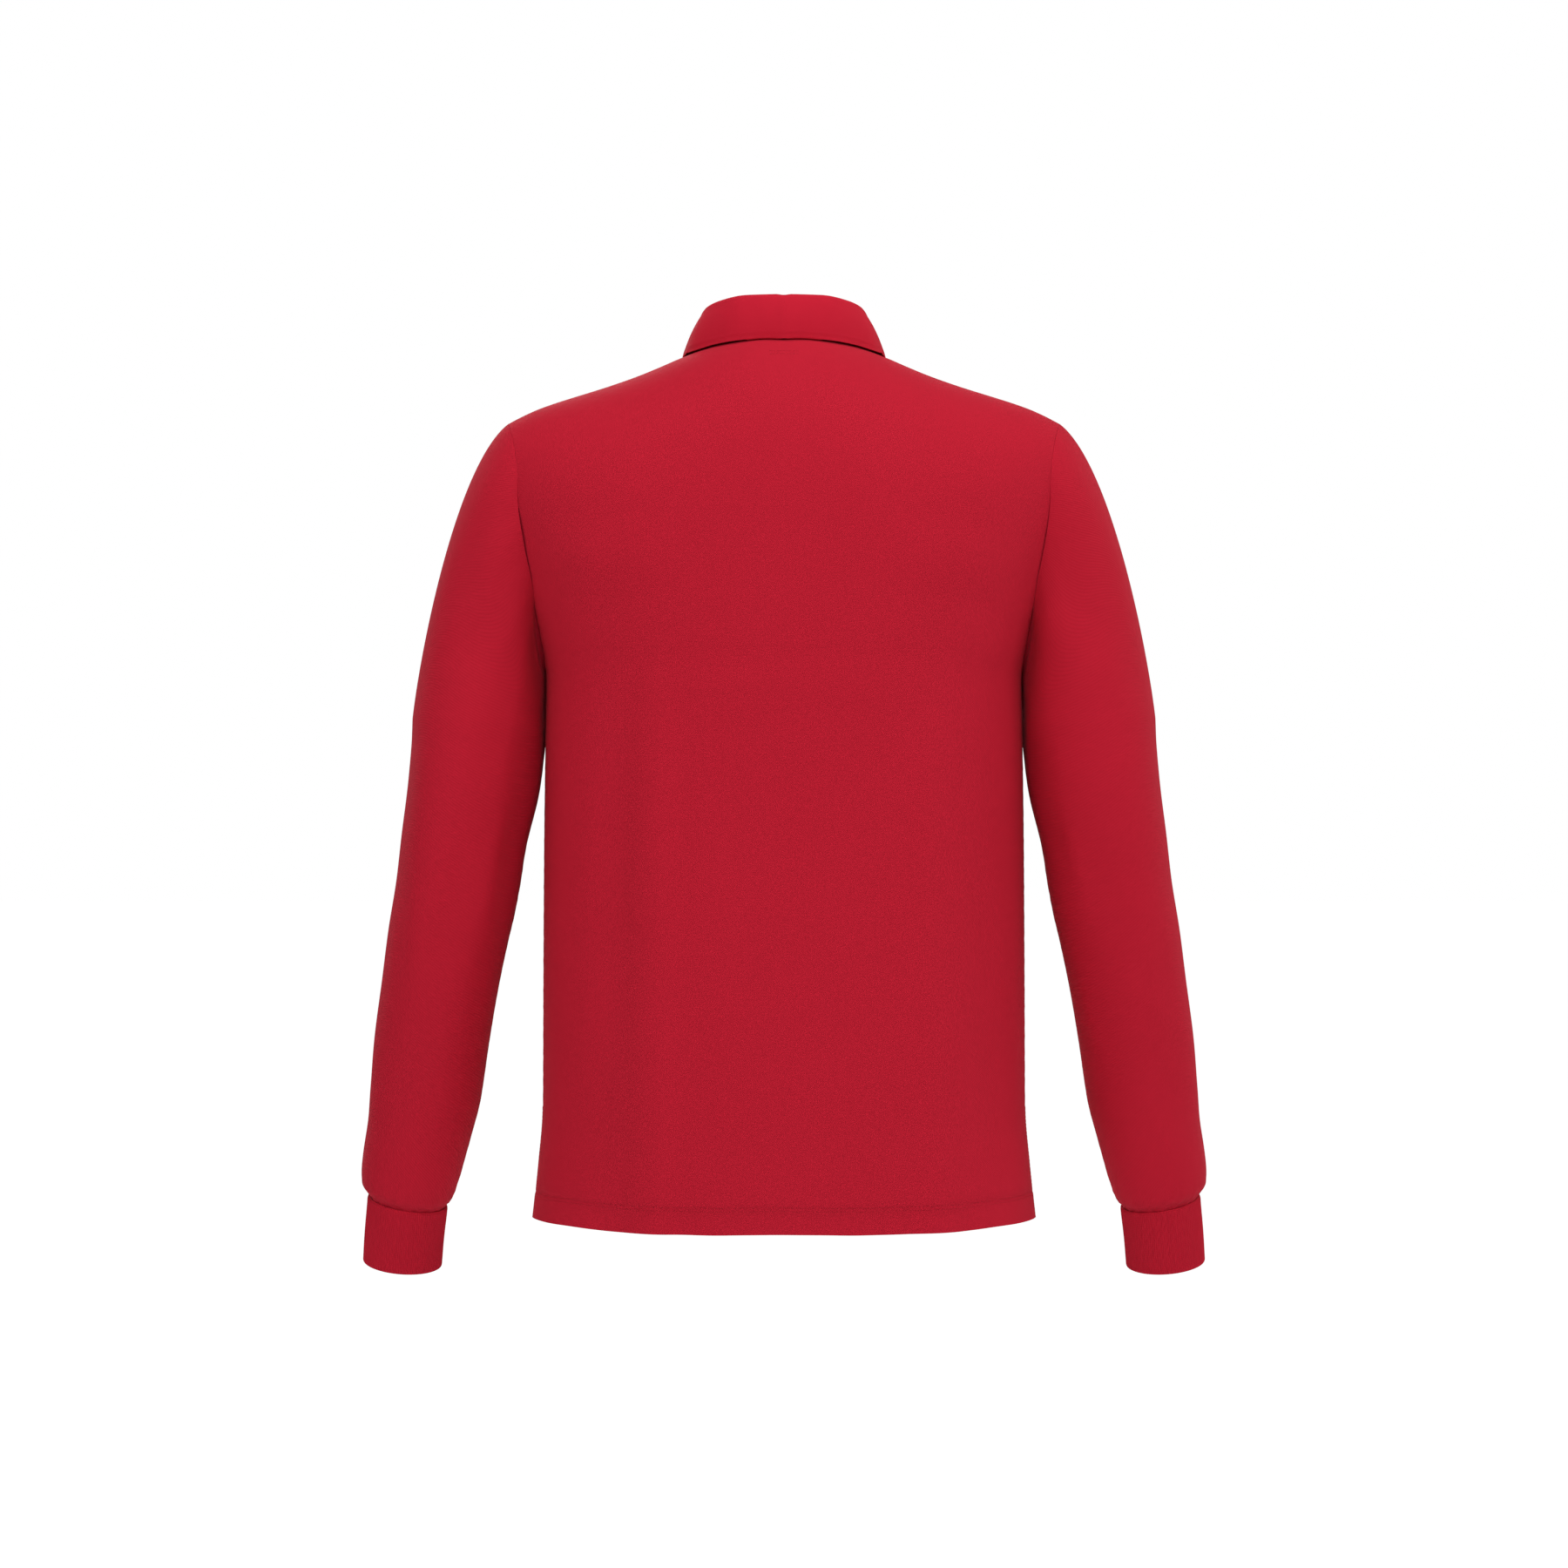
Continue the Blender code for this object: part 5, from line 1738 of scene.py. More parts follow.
# ---------------------------------------------------------------- node trees
class NodeBuilder:
    """Adds and joins nodes in one tree."""

    def __init__(self, tree: bpy.types.NodeTree) -> None:
        """Takes the tree to build in."""
        self.tree = tree

    @classmethod
    def geometry(cls, name: str) -> "NodeBuilder":
        """An empty Geometry Nodes tree with its geometry sockets.

        Args:
            name: its name.

        Returns:
            The builder for it.
        """
        made = cls(bpy.data.node_groups.new(name, "GeometryNodeTree"))
        for way in ("INPUT", "OUTPUT"):
            made.socket("Geometry", "NodeSocketGeometry", way=way)
        return made

    @classmethod
    def shader(cls, name: str, sizes: dict[str, float], outputs: Sequence[str]) -> "NodeGroup":
        """A shader node group on a vector.

        Args:
            name: its name.
            sizes: its number inputs and their default values.
            outputs: its number outputs.

        Returns:
            The builder for it, its input node and its output node.
        """
        made = cls(bpy.data.node_groups.new(name, "ShaderNodeTree"))
        made.socket("Vector", "NodeSocketVector")
        for title, value in sizes.items():
            made.socket(title, "NodeSocketFloat", value)
        for title in outputs:
            made.socket(title, "NodeSocketFloat", way="OUTPUT")
        return made, made.add("NodeGroupInput"), made.add("NodeGroupOutput")

    @classmethod
    def material(cls, name: str) -> tuple[bpy.types.Material, "NodeBuilder", bpy.types.Node]:
        """A new material, the builder for its nodes and its Principled shader.

        Args:
            name: its name.

        Returns:
            The material, the builder and the shader.
        """
        made = bpy.data.materials.new(name)
        made.use_nodes = True
        return made, cls(made.node_tree), made.node_tree.nodes["Principled BSDF"]

    def socket(self, name: str, kind: str, value: object = None, way: str = "INPUT") -> None:
        """Adds a named input or output to the tree.

        Args:
            name: its name.
            kind: its type.
            value: its default value, if it has one.
            way: INPUT or OUTPUT.
        """
        made = self.tree.interface.new_socket(name, in_out=way, socket_type=kind)
        if value is not None:
            made.default_value = value

    def add(self, kind: str, settings: dict[str, object] | None = None, inputs: dict | None = None) -> bpy.types.Node:
        """A new node.

        Args:
            kind: its type.
            settings: its own settings.
            inputs: values or sockets for its inputs, by name or number.

        Returns:
            The node.
        """
        node = self.tree.nodes.new(kind)
        for key, value in (settings or {}).items():
            setattr(node, key, value)
        self.fill(node, inputs or {})
        return node

    def fill(self, node: bpy.types.Node, inputs: dict) -> None:
        """Gives a node values or sockets for its inputs, by name or number."""
        for key, value in inputs.items():
            self.put(value, node.inputs[key])

    def put(self, value: object, socket: Socket) -> None:
        """Joins a socket to an input, or sets the input's value.

        Args:
            value: the value or the socket.
            socket: the input.
        """
        if isinstance(value, Socket):
            self.tree.links.new(value, socket)
        else:
            socket.default_value = value

    def math(self, operation: str, *values: object) -> Socket:
        """The result of a Math node on up to three values or sockets.

        Args:
            operation: its operation.
            *values: its values or sockets, in order.

        Returns:
            The result.
        """
        node = self.add("ShaderNodeMath", {"operation": operation})
        for value, socket in zip(values, node.inputs):
            self.put(value, socket)
        return node.outputs[0]

    def wave(self, turns: Socket) -> Socket:
        """The cosine of a number of full turns."""
        return self.math("COSINE", self.math("MULTIPLY", turns, 2 * np.pi))

    def mix(self, share: object, first: object, second: object) -> Socket:
        """Two colours mixed by a share."""
        node = self.add("ShaderNodeMix", {"data_type": "RGBA"}, {"Factor": share, 6: first, 7: second})
        return node.outputs[2]

    def places(self) -> Socket:
        """Places on the object, in metres."""
        return self.add("ShaderNodeTexCoord").outputs["Object"]

    def relief(self, height: Socket, strength: float, distance: float) -> Socket:
        """A normal that follows a height."""
        inputs = {"Strength": strength, "Distance": distance, "Height": height}
        return self.add("ShaderNodeBump", None, inputs).outputs["Normal"]

    def attribute(self, name: str, kind: str) -> Socket:
        """A named attribute of the geometry."""
        return self.add("GeometryNodeInputNamedAttribute", {"data_type": kind}, {"Name": name}).outputs["Attribute"]

    def finished(self, geometry: Socket, material: Socket) -> bpy.types.NodeTree:
        """Ends a Geometry Nodes tree in Realize Instances and Set Material.

        Args:
            geometry: what the tree has made.
            material: its finish.

        Returns:
            The whole tree.
        """
        real = self.add("GeometryNodeRealizeInstances", None, {"Geometry": geometry}).outputs["Geometry"]
        dressed = self.add("GeometryNodeSetMaterial", None, {"Geometry": real, "Material": material})
        self.add("NodeGroupOutput", None, {"Geometry": dressed.outputs["Geometry"]})
        return self.tree


NodeGroup = tuple[NodeBuilder, bpy.types.Node, bpy.types.Node]


def give(made: bpy.types.Object, name: str, kind: str, values: Array) -> None:
    """Stores a named attribute on an object's points."""
    attribute = made.data.attributes.new(name, kind, "POINT")
    attribute.data.foreach_set("vector" if kind == "FLOAT_VECTOR" else "value", packed(values))


def run_tree(made: bpy.types.Object, tree: bpy.types.NodeTree, values: dict[str, object]) -> None:
    """Runs a Geometry Nodes tree on an object and keeps the result as its mesh.

    Args:
        made: the object.
        tree: the tree to run.
        values: the tree's inputs, by name.
    """
    modifier = made.modifiers.new(tree.name, "NODES")
    modifier.node_group = tree
    for item in tree.interface.items_tree:
        if item.item_type == "SOCKET" and item.in_out == "INPUT" and item.name in values:
            modifier[item.identifier] = values[item.name]
    applied(made)


# ---------------------------------------------------------------- sewing
class StitchRun(NamedTuple):
    """One line of sewing: its points, and the way out of the cloth at each."""

    points: Array
    outward: Array


@dataclass
class Sewing:
    """A kind of sewing: short rounded stitches laid along its runs by Geometry Nodes."""

    name: str
    pitch: float
    length: float
    radius: float
    out: float = 0.0
    turn: float = 0.0
    seed: int = 5
    sway: float = 0.07
    flatness: float = 0.85
    runs: list[StitchRun] = field(default_factory=list)

    def add(self, points: Array, outward: Array) -> None:
        """Adds a run."""
        self.runs.append(StitchRun(points, outward))

    def along(self, cloth: Cloth, row: float, places: Array, across: Array) -> None:
        """Adds a run along one row of a cloth, at places in the measure that across holds for its points."""
        self.add(*cloth.at(row, index_at(places, across[int(row)]), self.out))

    def up(self, cloth: Cloth, rows: Array, places: Array, across: Array) -> None:
        """Adds a run up a cloth, at one place in each row, in the measure that across holds for its points."""
        found = [cloth.at(row, index_at([place], across[int(row)]), self.out) for row, place in zip(rows, places)]
        self.add(*(np.concatenate(values) for values in zip(*found)))

    def tree(self) -> bpy.types.NodeTree:
        """Nodes that lay one stitch at each step along a line.

        Returns:
            The tree.
        """
        tree = NodeBuilder.geometry(f"{self.name} stitches")
        for name, value in (("Pitch", 0.003), ("Length", 0.002), ("Radius", 0.0002), ("Turn", 0.0)):
            tree.socket(name, "NodeSocketFloat", value)
        tree.socket("Thread", "NodeSocketMaterial")
        given = tree.add("NodeGroupInput")
        line = tree.add("GeometryNodeMeshToCurve", None, {"Mesh": given.outputs["Geometry"]})
        even = tree.add("GeometryNodeResampleCurve", {"mode": "LENGTH"}, {
            "Curve": line.outputs["Curve"], "Length": given.outputs["Pitch"],
        })
        heading = tree.add("FunctionNodeAxesToRotation", {"primary_axis": "X", "secondary_axis": "Z"}, {
            "Primary Axis": tree.add("GeometryNodeInputTangent").outputs["Tangent"],
            "Secondary Axis": tree.attribute("way_out", "FLOAT_VECTOR"),
        })
        sway = tree.add("FunctionNodeRandomValue", {"data_type": "FLOAT"}, {
            2: -self.sway, 3: self.sway, "Seed": self.seed,
        })
        turned = tree.add("ShaderNodeCombineXYZ", None, {
            "Z": tree.math("ADD", given.outputs["Turn"], sway.outputs[1]),
        })
        spin = tree.add("FunctionNodeEulerToRotation", None, {"Euler": turned.outputs["Vector"]})
        rotation = tree.add("FunctionNodeRotateRotation", {"rotation_space": "LOCAL"}, {
            "Rotation": heading.outputs["Rotation"], "Rotate By": spin.outputs["Rotation"],
        })
        bead = tree.add("GeometryNodeMeshUVSphere", None, {"Segments": 8, "Rings": 5, "Radius": 1.0})
        smooth = tree.add("GeometryNodeSetShadeSmooth", None, {"Geometry": bead.outputs["Mesh"]})
        size = tree.add("ShaderNodeCombineXYZ", None, {
            "X": tree.math("MULTIPLY", given.outputs["Length"], 0.5),
            "Y": given.outputs["Radius"],
            "Z": tree.math("MULTIPLY", given.outputs["Radius"], self.flatness),
        })
        laid = tree.add("GeometryNodeInstanceOnPoints", None, {
            "Points": even.outputs["Curve"], "Instance": smooth.outputs["Geometry"],
            "Rotation": rotation.outputs["Rotation"], "Scale": size.outputs["Vector"],
        })
        return tree.finished(laid.outputs["Instances"], given.outputs["Thread"])

    def sew(self, thread: bpy.types.Material) -> None:
        """Builds all the runs as one piece of thread.

        Args:
            thread: the thread's finish.
        """
        points, ways = (np.concatenate(values) for values in zip(*self.runs))
        edges, start = [], 0
        for run in self.runs:
            edges += [(i, i + 1) for i in range(start, start + len(run.points) - 1)]
            start += len(run.points)
        made = placed(self.name, plain_mesh(self.name, points.tolist(), edges, []))
        give(made, "way_out", "FLOAT_VECTOR", ways)
        sizes = {"Pitch": self.pitch, "Length": self.length, "Radius": self.radius, "Turn": self.turn}
        run_tree(made, self.tree(), {**sizes, "Thread": thread})
        log.info("%s: %d faces in %d runs", self.name, len(made.data.polygons), len(self.runs))


@dataclass
class Seams:
    """All the sewing that shows, laid on the finished cloths."""

    body: Body
    sewn: dict[Side, Cloth]
    upper: Cloth
    tubes: tuple[Cloth, Cloth]
    seats: list[Matrix]
    hem_lines: tuple[float, float] = (-0.0022, 0.0006)
    bar_reach: tuple[float, float] = (0.0012, 0.0075)
    neck_lines: tuple[float, float] = (-0.0088, -0.0114)
    neck_half: float = 0.0105
    placket_lines: tuple[float, float] = (0.0024, 0.0204)
    placket_inset: float = 0.0026
    hole_half: float = 0.0078
    hole_aside: float = 0.00085
    thread_aside: float = 0.00117
    thread_apart: float = 0.00022
    thread_half: float = 0.00125
    thread_z: float = 0.00155
    thread_rise: float = 0.00026
    above_cuff: float = 0.0030

    def hem(self) -> Sewing:
        """Two rows of needle thread round the hem of each panel, and one up each side of the vents.

        Returns:
            The stitches.
        """
        kind = Sewing("hem_stitches", 0.0031, 0.0025, 0.00022, 0.00006)
        body = self.body
        for cloth in self.sewn.values():
            across = cloth.flat[..., 0]
            for line in self.hem_lines:
                row = index_at(body.hem_depth + line, cloth.flat[:, cloth.middle, 1])
                half = across[int(row), -1] - body.vent_facing - 0.0005
                kind.along(cloth, row, np.arange(-half, half, 0.0016), across)
            rows = np.arange(1, cloth.row_at(body.form.vent_top_z + 0.002))
            edge = across[rows.astype(int), -1] - body.vent_facing + 0.0006
            for way in (-1, 1):
                kind.up(cloth, rows, way * edge, across)
        return kind

    def bars(self) -> Sewing:
        """Bar tacks at the tops of the vents.

        Returns:
            The stitches.
        """
        kind = Sewing("bar_tacks", 0.00055, 0.0016, 0.00017, 0.00012, np.pi / 2)
        for cloth in self.sewn.values():
            across = cloth.flat[..., 0]
            row = cloth.row_at(self.body.form.vent_top_z + 0.001)
            for way in (-1, 1):
                places = way * (across[int(row), -1] - np.linspace(*self.bar_reach, 8))
                kind.along(cloth, row, np.sort(places), across)
        return kind

    def neck_bars(self) -> Sewing:
        """The two short rows of stitches on the back, just below the collar's leaf.

        Returns:
            The stitches.
        """
        kind = Sewing("back_neck_stitches", 0.0026, 0.0021, 0.00022, 0.00008)
        cloth = self.sewn[Side.BACK]
        for z in self.neck_lines:
            places = np.linspace(-self.neck_half, self.neck_half, 15)
            kind.along(cloth, cloth.row_at(z), places, cloth.points[..., 0])
        return kind

    def placket(self) -> Sewing:
        """Topstitching down both sides of the upper placket and across its foot, with its square.

        Returns:
            The stitches.
        """
        kind = Sewing("placket_topstitch", 0.0027, 0.0022, 0.00019, 0.00008)
        across, up = self.upper.flat[..., 0], self.upper.flat[..., 1]
        rows, inset = np.arange(2, len(up) - 1), self.placket_lines[0]
        for places in (np.full(len(rows), inset), across[rows, -1] - inset):
            kind.up(self.upper, rows, places, across)
        for height in self.placket_lines:
            row = index_at(height, up[:, self.upper.middle])
            places = np.linspace(self.placket_inset, across[int(row), -1] - self.placket_inset, 20)
            kind.along(self.upper, row, places, across)
        return kind

    def buttonholes(self) -> Sewing:
        """A buttonhole under each button, worked in close upright stitches in two rows, one either side of its line.

        Returns:
            The stitches.
        """
        kind = Sewing("buttonhole_stitches", 0.00042, 0.0013, 0.00014, 0.00010, np.pi / 2)
        for seat in self.seats:
            rows = self.upper.row_at(np.linspace(-self.hole_half, self.hole_half, 16) + seat.translation.z)
            for aside in (-self.hole_aside, self.hole_aside):
                kind.up(self.upper, rows, np.full(len(rows), aside), self.upper.points[..., 0])
        return kind

    def button_threads(self) -> Sewing:
        """Thread through each button's holes, in two short parallel bars.

        Returns:
            The stitches.
        """
        kind = Sewing("button_threads", 0.00032, 0.00060, 0.00026)
        for seat in self.seats:
            out = seat.to_3x3() @ Vector((0.0, 0.0, 1.0))
            for aside in (-self.thread_aside, self.thread_aside):
                for shift in (-self.thread_apart, self.thread_apart):
                    points = []
                    for t in np.linspace(-1, 1, 9):
                        lift = self.thread_z + self.thread_rise * (1 - t * t)
                        points.append(seat @ Vector((aside + shift, self.thread_half * t, lift)))
                    kind.add(np.array(points), np.array([out] * len(points)))
        return kind

    def cuffs(self) -> Sewing:
        """A row of stitches round each sleeve's end, just above its cuff.

        Returns:
            The stitches.
        """
        kind = Sewing("cuff_seam_stitches", 0.0032, 0.0025, 0.00019, 0.00004)
        for tube in self.tubes:
            row = index_at(-self.above_cuff, tube.flat[:, 0, 1] - tube.flat[-1, 0, 1])
            kind.add(*tube.at(row, np.linspace(0, tube.points.shape[1], 240), kind.out))
        return kind

    def dress(self, thread: bpy.types.Material) -> None:
        """Sews everything.

        Args:
            thread: the thread's finish.
        """
        for kind in (
            self.hem(), self.bars(), self.neck_bars(), self.placket(), self.buttonholes(),
            self.button_threads(), self.cuffs(),
        ):
            kind.sew(thread)


# ---------------------------------------------------------------- finishes
Colour = tuple[float, float, float, float]


def yarn_mottle() -> bpy.types.NodeTree:
    """A group that gives yarn's uneven dye, from broad soft patches to single fibres.

    Returns:
        The group.
    """
    made, given, end = NodeBuilder.shader(
        "yarn mottle", {"Patch Scale": 16.0, "Fibre Scale": 1400.0}, ("Patch", "Fibre")
    )
    for title, detail in (("Patch", 3.0), ("Fibre", 2.0)):
        noise = made.add("ShaderNodeTexNoise", None, {
            "Vector": given.outputs["Vector"], "Scale": given.outputs[f"{title} Scale"], "Detail": detail,
            "Roughness": 0.6,
        })
        made.put(noise.outputs["Fac"], end.inputs[title])
    return made.tree


def knit_lattice() -> bpy.types.NodeTree:
    """A group that gives a pique knit's staggered pits as a height, and a pit mask for painted shade, on flat places in
    metres.

    Returns:
        The group.
    """
    made, given, end = NodeBuilder.shader(
        "pique lattice", {"Cell Width": 0.0016, "Cell Height": 0.0019}, ("Height", "Pit Shade")
    )
    apart = made.add("ShaderNodeSeparateXYZ", None, {0: given.outputs["Vector"]})
    waves = []
    for axis, size in (("X", "Cell Width"), ("Y", "Cell Height")):
        waves.append(made.wave(made.math("DIVIDE", apart.outputs[axis], given.outputs[size])))
    product = made.math("MULTIPLY", *waves)
    pit = made.math("POWER", made.math("MAXIMUM", made.math("MULTIPLY", product, -1.0), 0.0), 1.4)
    rise = made.math("MULTIPLY", made.math("MAXIMUM", product, 0.0), 0.35)
    sunk = made.math("SUBTRACT", 0.65, made.math("MULTIPLY", pit, 0.65))
    # The pit mask sinks the height and also marks where the finish paints shade into the colour.
    made.fill(end, {"Height": made.math("ADD", sunk, rise), "Pit Shade": pit})
    return made.tree


def knit_rows() -> bpy.types.NodeTree:
    """A group that gives plain knit's columns of leaning stitches as a height, and a groove mask for painted shade, on
    flat places in metres.

    Returns:
        The group.
    """
    made, given, end = NodeBuilder.shader("knit rows", {"Wale": 0.0014, "Course": 0.0011}, ("Height", "Groove Shade"))
    apart = made.add("ShaderNodeSeparateXYZ", None, {0: given.outputs["Vector"]})
    wale = made.math("DIVIDE", apart.outputs["Y"], given.outputs["Wale"])
    course = made.math("DIVIDE", apart.outputs["X"], given.outputs["Course"])
    lean = made.math("ADD", course, made.math("MULTIPLY", made.math("PINGPONG", wale, 0.5), 1.6))
    stitch = made.math("MULTIPLY_ADD", made.wave(lean), 0.25, 0.25)
    valley = made.math("POWER", made.math("MULTIPLY_ADD", made.wave(wale), 0.5, 0.5), 3.0)
    height = made.math("SUBTRACT", made.math("ADD", stitch, 0.5), made.math("MULTIPLY", valley, 0.5))
    # The groove mask sinks the height and also marks where the finish paints shade into the colour.
    made.fill(end, {"Height": height, "Groove Shade": valley})
    return made.tree


@dataclass(frozen=True)
class Dye:
    """A piece-dyed cotton's colours: the cloth's own, a deeper tone and its lighter bloom; the deeper tone serves both
    as painted shade in the weave's pits and grooves and as the yarn's own darker fibres.
    """

    plain: Colour = (0.470, 0.0088, 0.0255, 1.0)
    deep: Colour = (0.330, 0.0056, 0.0165, 1.0)
    light: Colour = (0.505, 0.0102, 0.0290, 1.0)


@dataclass(frozen=True)
class KnitFinish:
    """A knitted cotton's finish, with painted shade in its weave's pits and grooves."""

    name: str
    group: Callable[[], bpy.types.NodeTree]
    sizes: dict[str, float]
    shade: str
    bump_distance: float
    bump_strength: float
    dye: Dye = Dye()
    patch_share: float = 0.8
    patch_start: float = 0.1
    painted_shade_share: float = 0.55
    fibre_share: float = 0.16
    fibre_height: float = 0.22
    roughness: float = 0.90
    rough_spread: float = 0.12
    sheen: float = 0.05
    sheen_roughness: float = 0.35
    sheen_tint: Colour = (1.0, 0.25, 0.30, 1.0)
    specular: float = 0.12

    def build(self, mottle: bpy.types.NodeTree) -> bpy.types.Material:
        """The material, with its weave on the cloth's own flat places.

        Args:
            mottle: the shared yarn mottle.

        Returns:
            The material.
        """
        material, nodes, shader = NodeBuilder.material(self.name)
        flat = nodes.add("ShaderNodeUVMap", {"uv_map": "flat"}).outputs["UV"]
        weave = nodes.add("ShaderNodeGroup", {"node_tree": self.group()}, {"Vector": flat, **self.sizes})
        yarn = nodes.add("ShaderNodeGroup", {"node_tree": mottle}, {"Vector": nodes.places()})
        fibre = yarn.outputs["Fibre"]
        patch = nodes.math("MULTIPLY_ADD", yarn.outputs["Patch"], self.patch_share, self.patch_start)
        cloth = nodes.mix(patch, self.dye.plain, self.dye.light)
        # Painted shade: the deeper tone mixed in where the weave is sunk, in its pits or grooves, by the weave's mask.
        cloth = nodes.mix(nodes.math("MULTIPLY", weave.outputs[self.shade], self.painted_shade_share), cloth, self.dye.deep)
        # The deeper tone again at random fibres: the yarn's own uneven dye.
        cloth = nodes.mix(nodes.math("MULTIPLY", fibre, self.fibre_share), cloth, self.dye.deep)
        height = nodes.math("MULTIPLY_ADD", fibre, self.fibre_height, weave.outputs["Height"])
        smoothest = self.roughness - self.rough_spread / 2
        nodes.fill(shader, {
            "Base Color": cloth,
            "Roughness": nodes.math("MULTIPLY_ADD", fibre, self.rough_spread, smoothest),
            "Normal": nodes.relief(height, self.bump_strength, self.bump_distance),
            "Sheen Weight": self.sheen,
            "Sheen Roughness": self.sheen_roughness,
            "Sheen Tint": self.sheen_tint,
            "Specular IOR Level": self.specular,
        })
        return material


@dataclass(frozen=True)
class ThreadFinish:
    """Sewing thread, dyed to match and a little smoother than the cloth, with its twist."""

    name: str = "red sewing thread"
    colour: Colour = (0.470, 0.0095, 0.0260, 1.0)
    deep: Colour = (0.260, 0.0050, 0.0140, 1.0)
    twist_scale: float = 900.0
    twist_share: float = 0.35
    relief: tuple[float, float] = (0.5, 0.00008)
    roughness: float = 0.75
    specular: float = 0.20

    def build(self) -> bpy.types.Material:
        """Makes the material.

        Returns:
            The material.
        """
        material, nodes, shader = NodeBuilder.material(self.name)
        twist = nodes.add("ShaderNodeTexWave", {"bands_direction": "DIAGONAL"}, {
            "Vector": nodes.places(), "Scale": self.twist_scale, "Distortion": 1.5,
        }).outputs["Fac"]
        nodes.fill(shader, {
            "Base Color": nodes.mix(nodes.math("MULTIPLY", twist, self.twist_share), self.colour, self.deep),
            "Normal": nodes.relief(twist, *self.relief),
            "Roughness": self.roughness,
            "Specular IOR Level": self.specular,
        })
        return material


@dataclass(frozen=True)
class ResinFinish:
    """Button resin, dyed to match, with faint clouds and a satin face."""

    name: str = "red button resin"
    colour: Colour = (0.42, 0.010, 0.022, 1.0)
    cloud: Colour = (0.52, 0.024, 0.042, 1.0)
    cloud_scale: float = 260.0
    scuff_scale: float = 2400.0
    relief: tuple[float, float] = (0.15, 0.00003)
    smoothest: float = 0.38
    rough_spread: float = 0.14
    specular: float = 0.32

    def build(self) -> bpy.types.Material:
        """Makes the material.

        Returns:
            The material.
        """
        material, nodes, shader = NodeBuilder.material(self.name)
        there = nodes.places()
        clouds = nodes.add("ShaderNodeTexNoise", None, {
            "Vector": there, "Scale": self.cloud_scale, "Detail": 4.0, "Distortion": 1.2,
        }).outputs["Fac"]
        scuffs = nodes.add("ShaderNodeTexNoise", None, {
            "Vector": there, "Scale": self.scuff_scale, "Detail": 2.0,
        }).outputs["Fac"]
        nodes.fill(shader, {
            "Base Color": nodes.mix(clouds, self.colour, self.cloud),
            "Roughness": nodes.math("MULTIPLY_ADD", scuffs, self.rough_spread, self.smoothest),
            "Normal": nodes.relief(scuffs, *self.relief),
            "Specular IOR Level": self.specular,
        })
        return material


# ---------------------------------------------------------------- studio
@dataclass(frozen=True)
class SoftLight:
    """A large soft white lamp, by where it stands and what it looks at."""

    name: str
    place: tuple[float, float, float]
    aim: tuple[float, float, float]
    size: float
    power: float

    def build(self) -> None:
        """Adds the lamp."""
        lamp = bpy.data.lights.new(self.name, "AREA")
        lamp.shape, lamp.size, lamp.energy = "DISK", self.size, self.power
        made = linked(self.name, lamp)
        made.location = self.place
        made.rotation_euler = (Vector(self.aim) - Vector(self.place)).to_track_quat("-Z", "Y").to_euler()


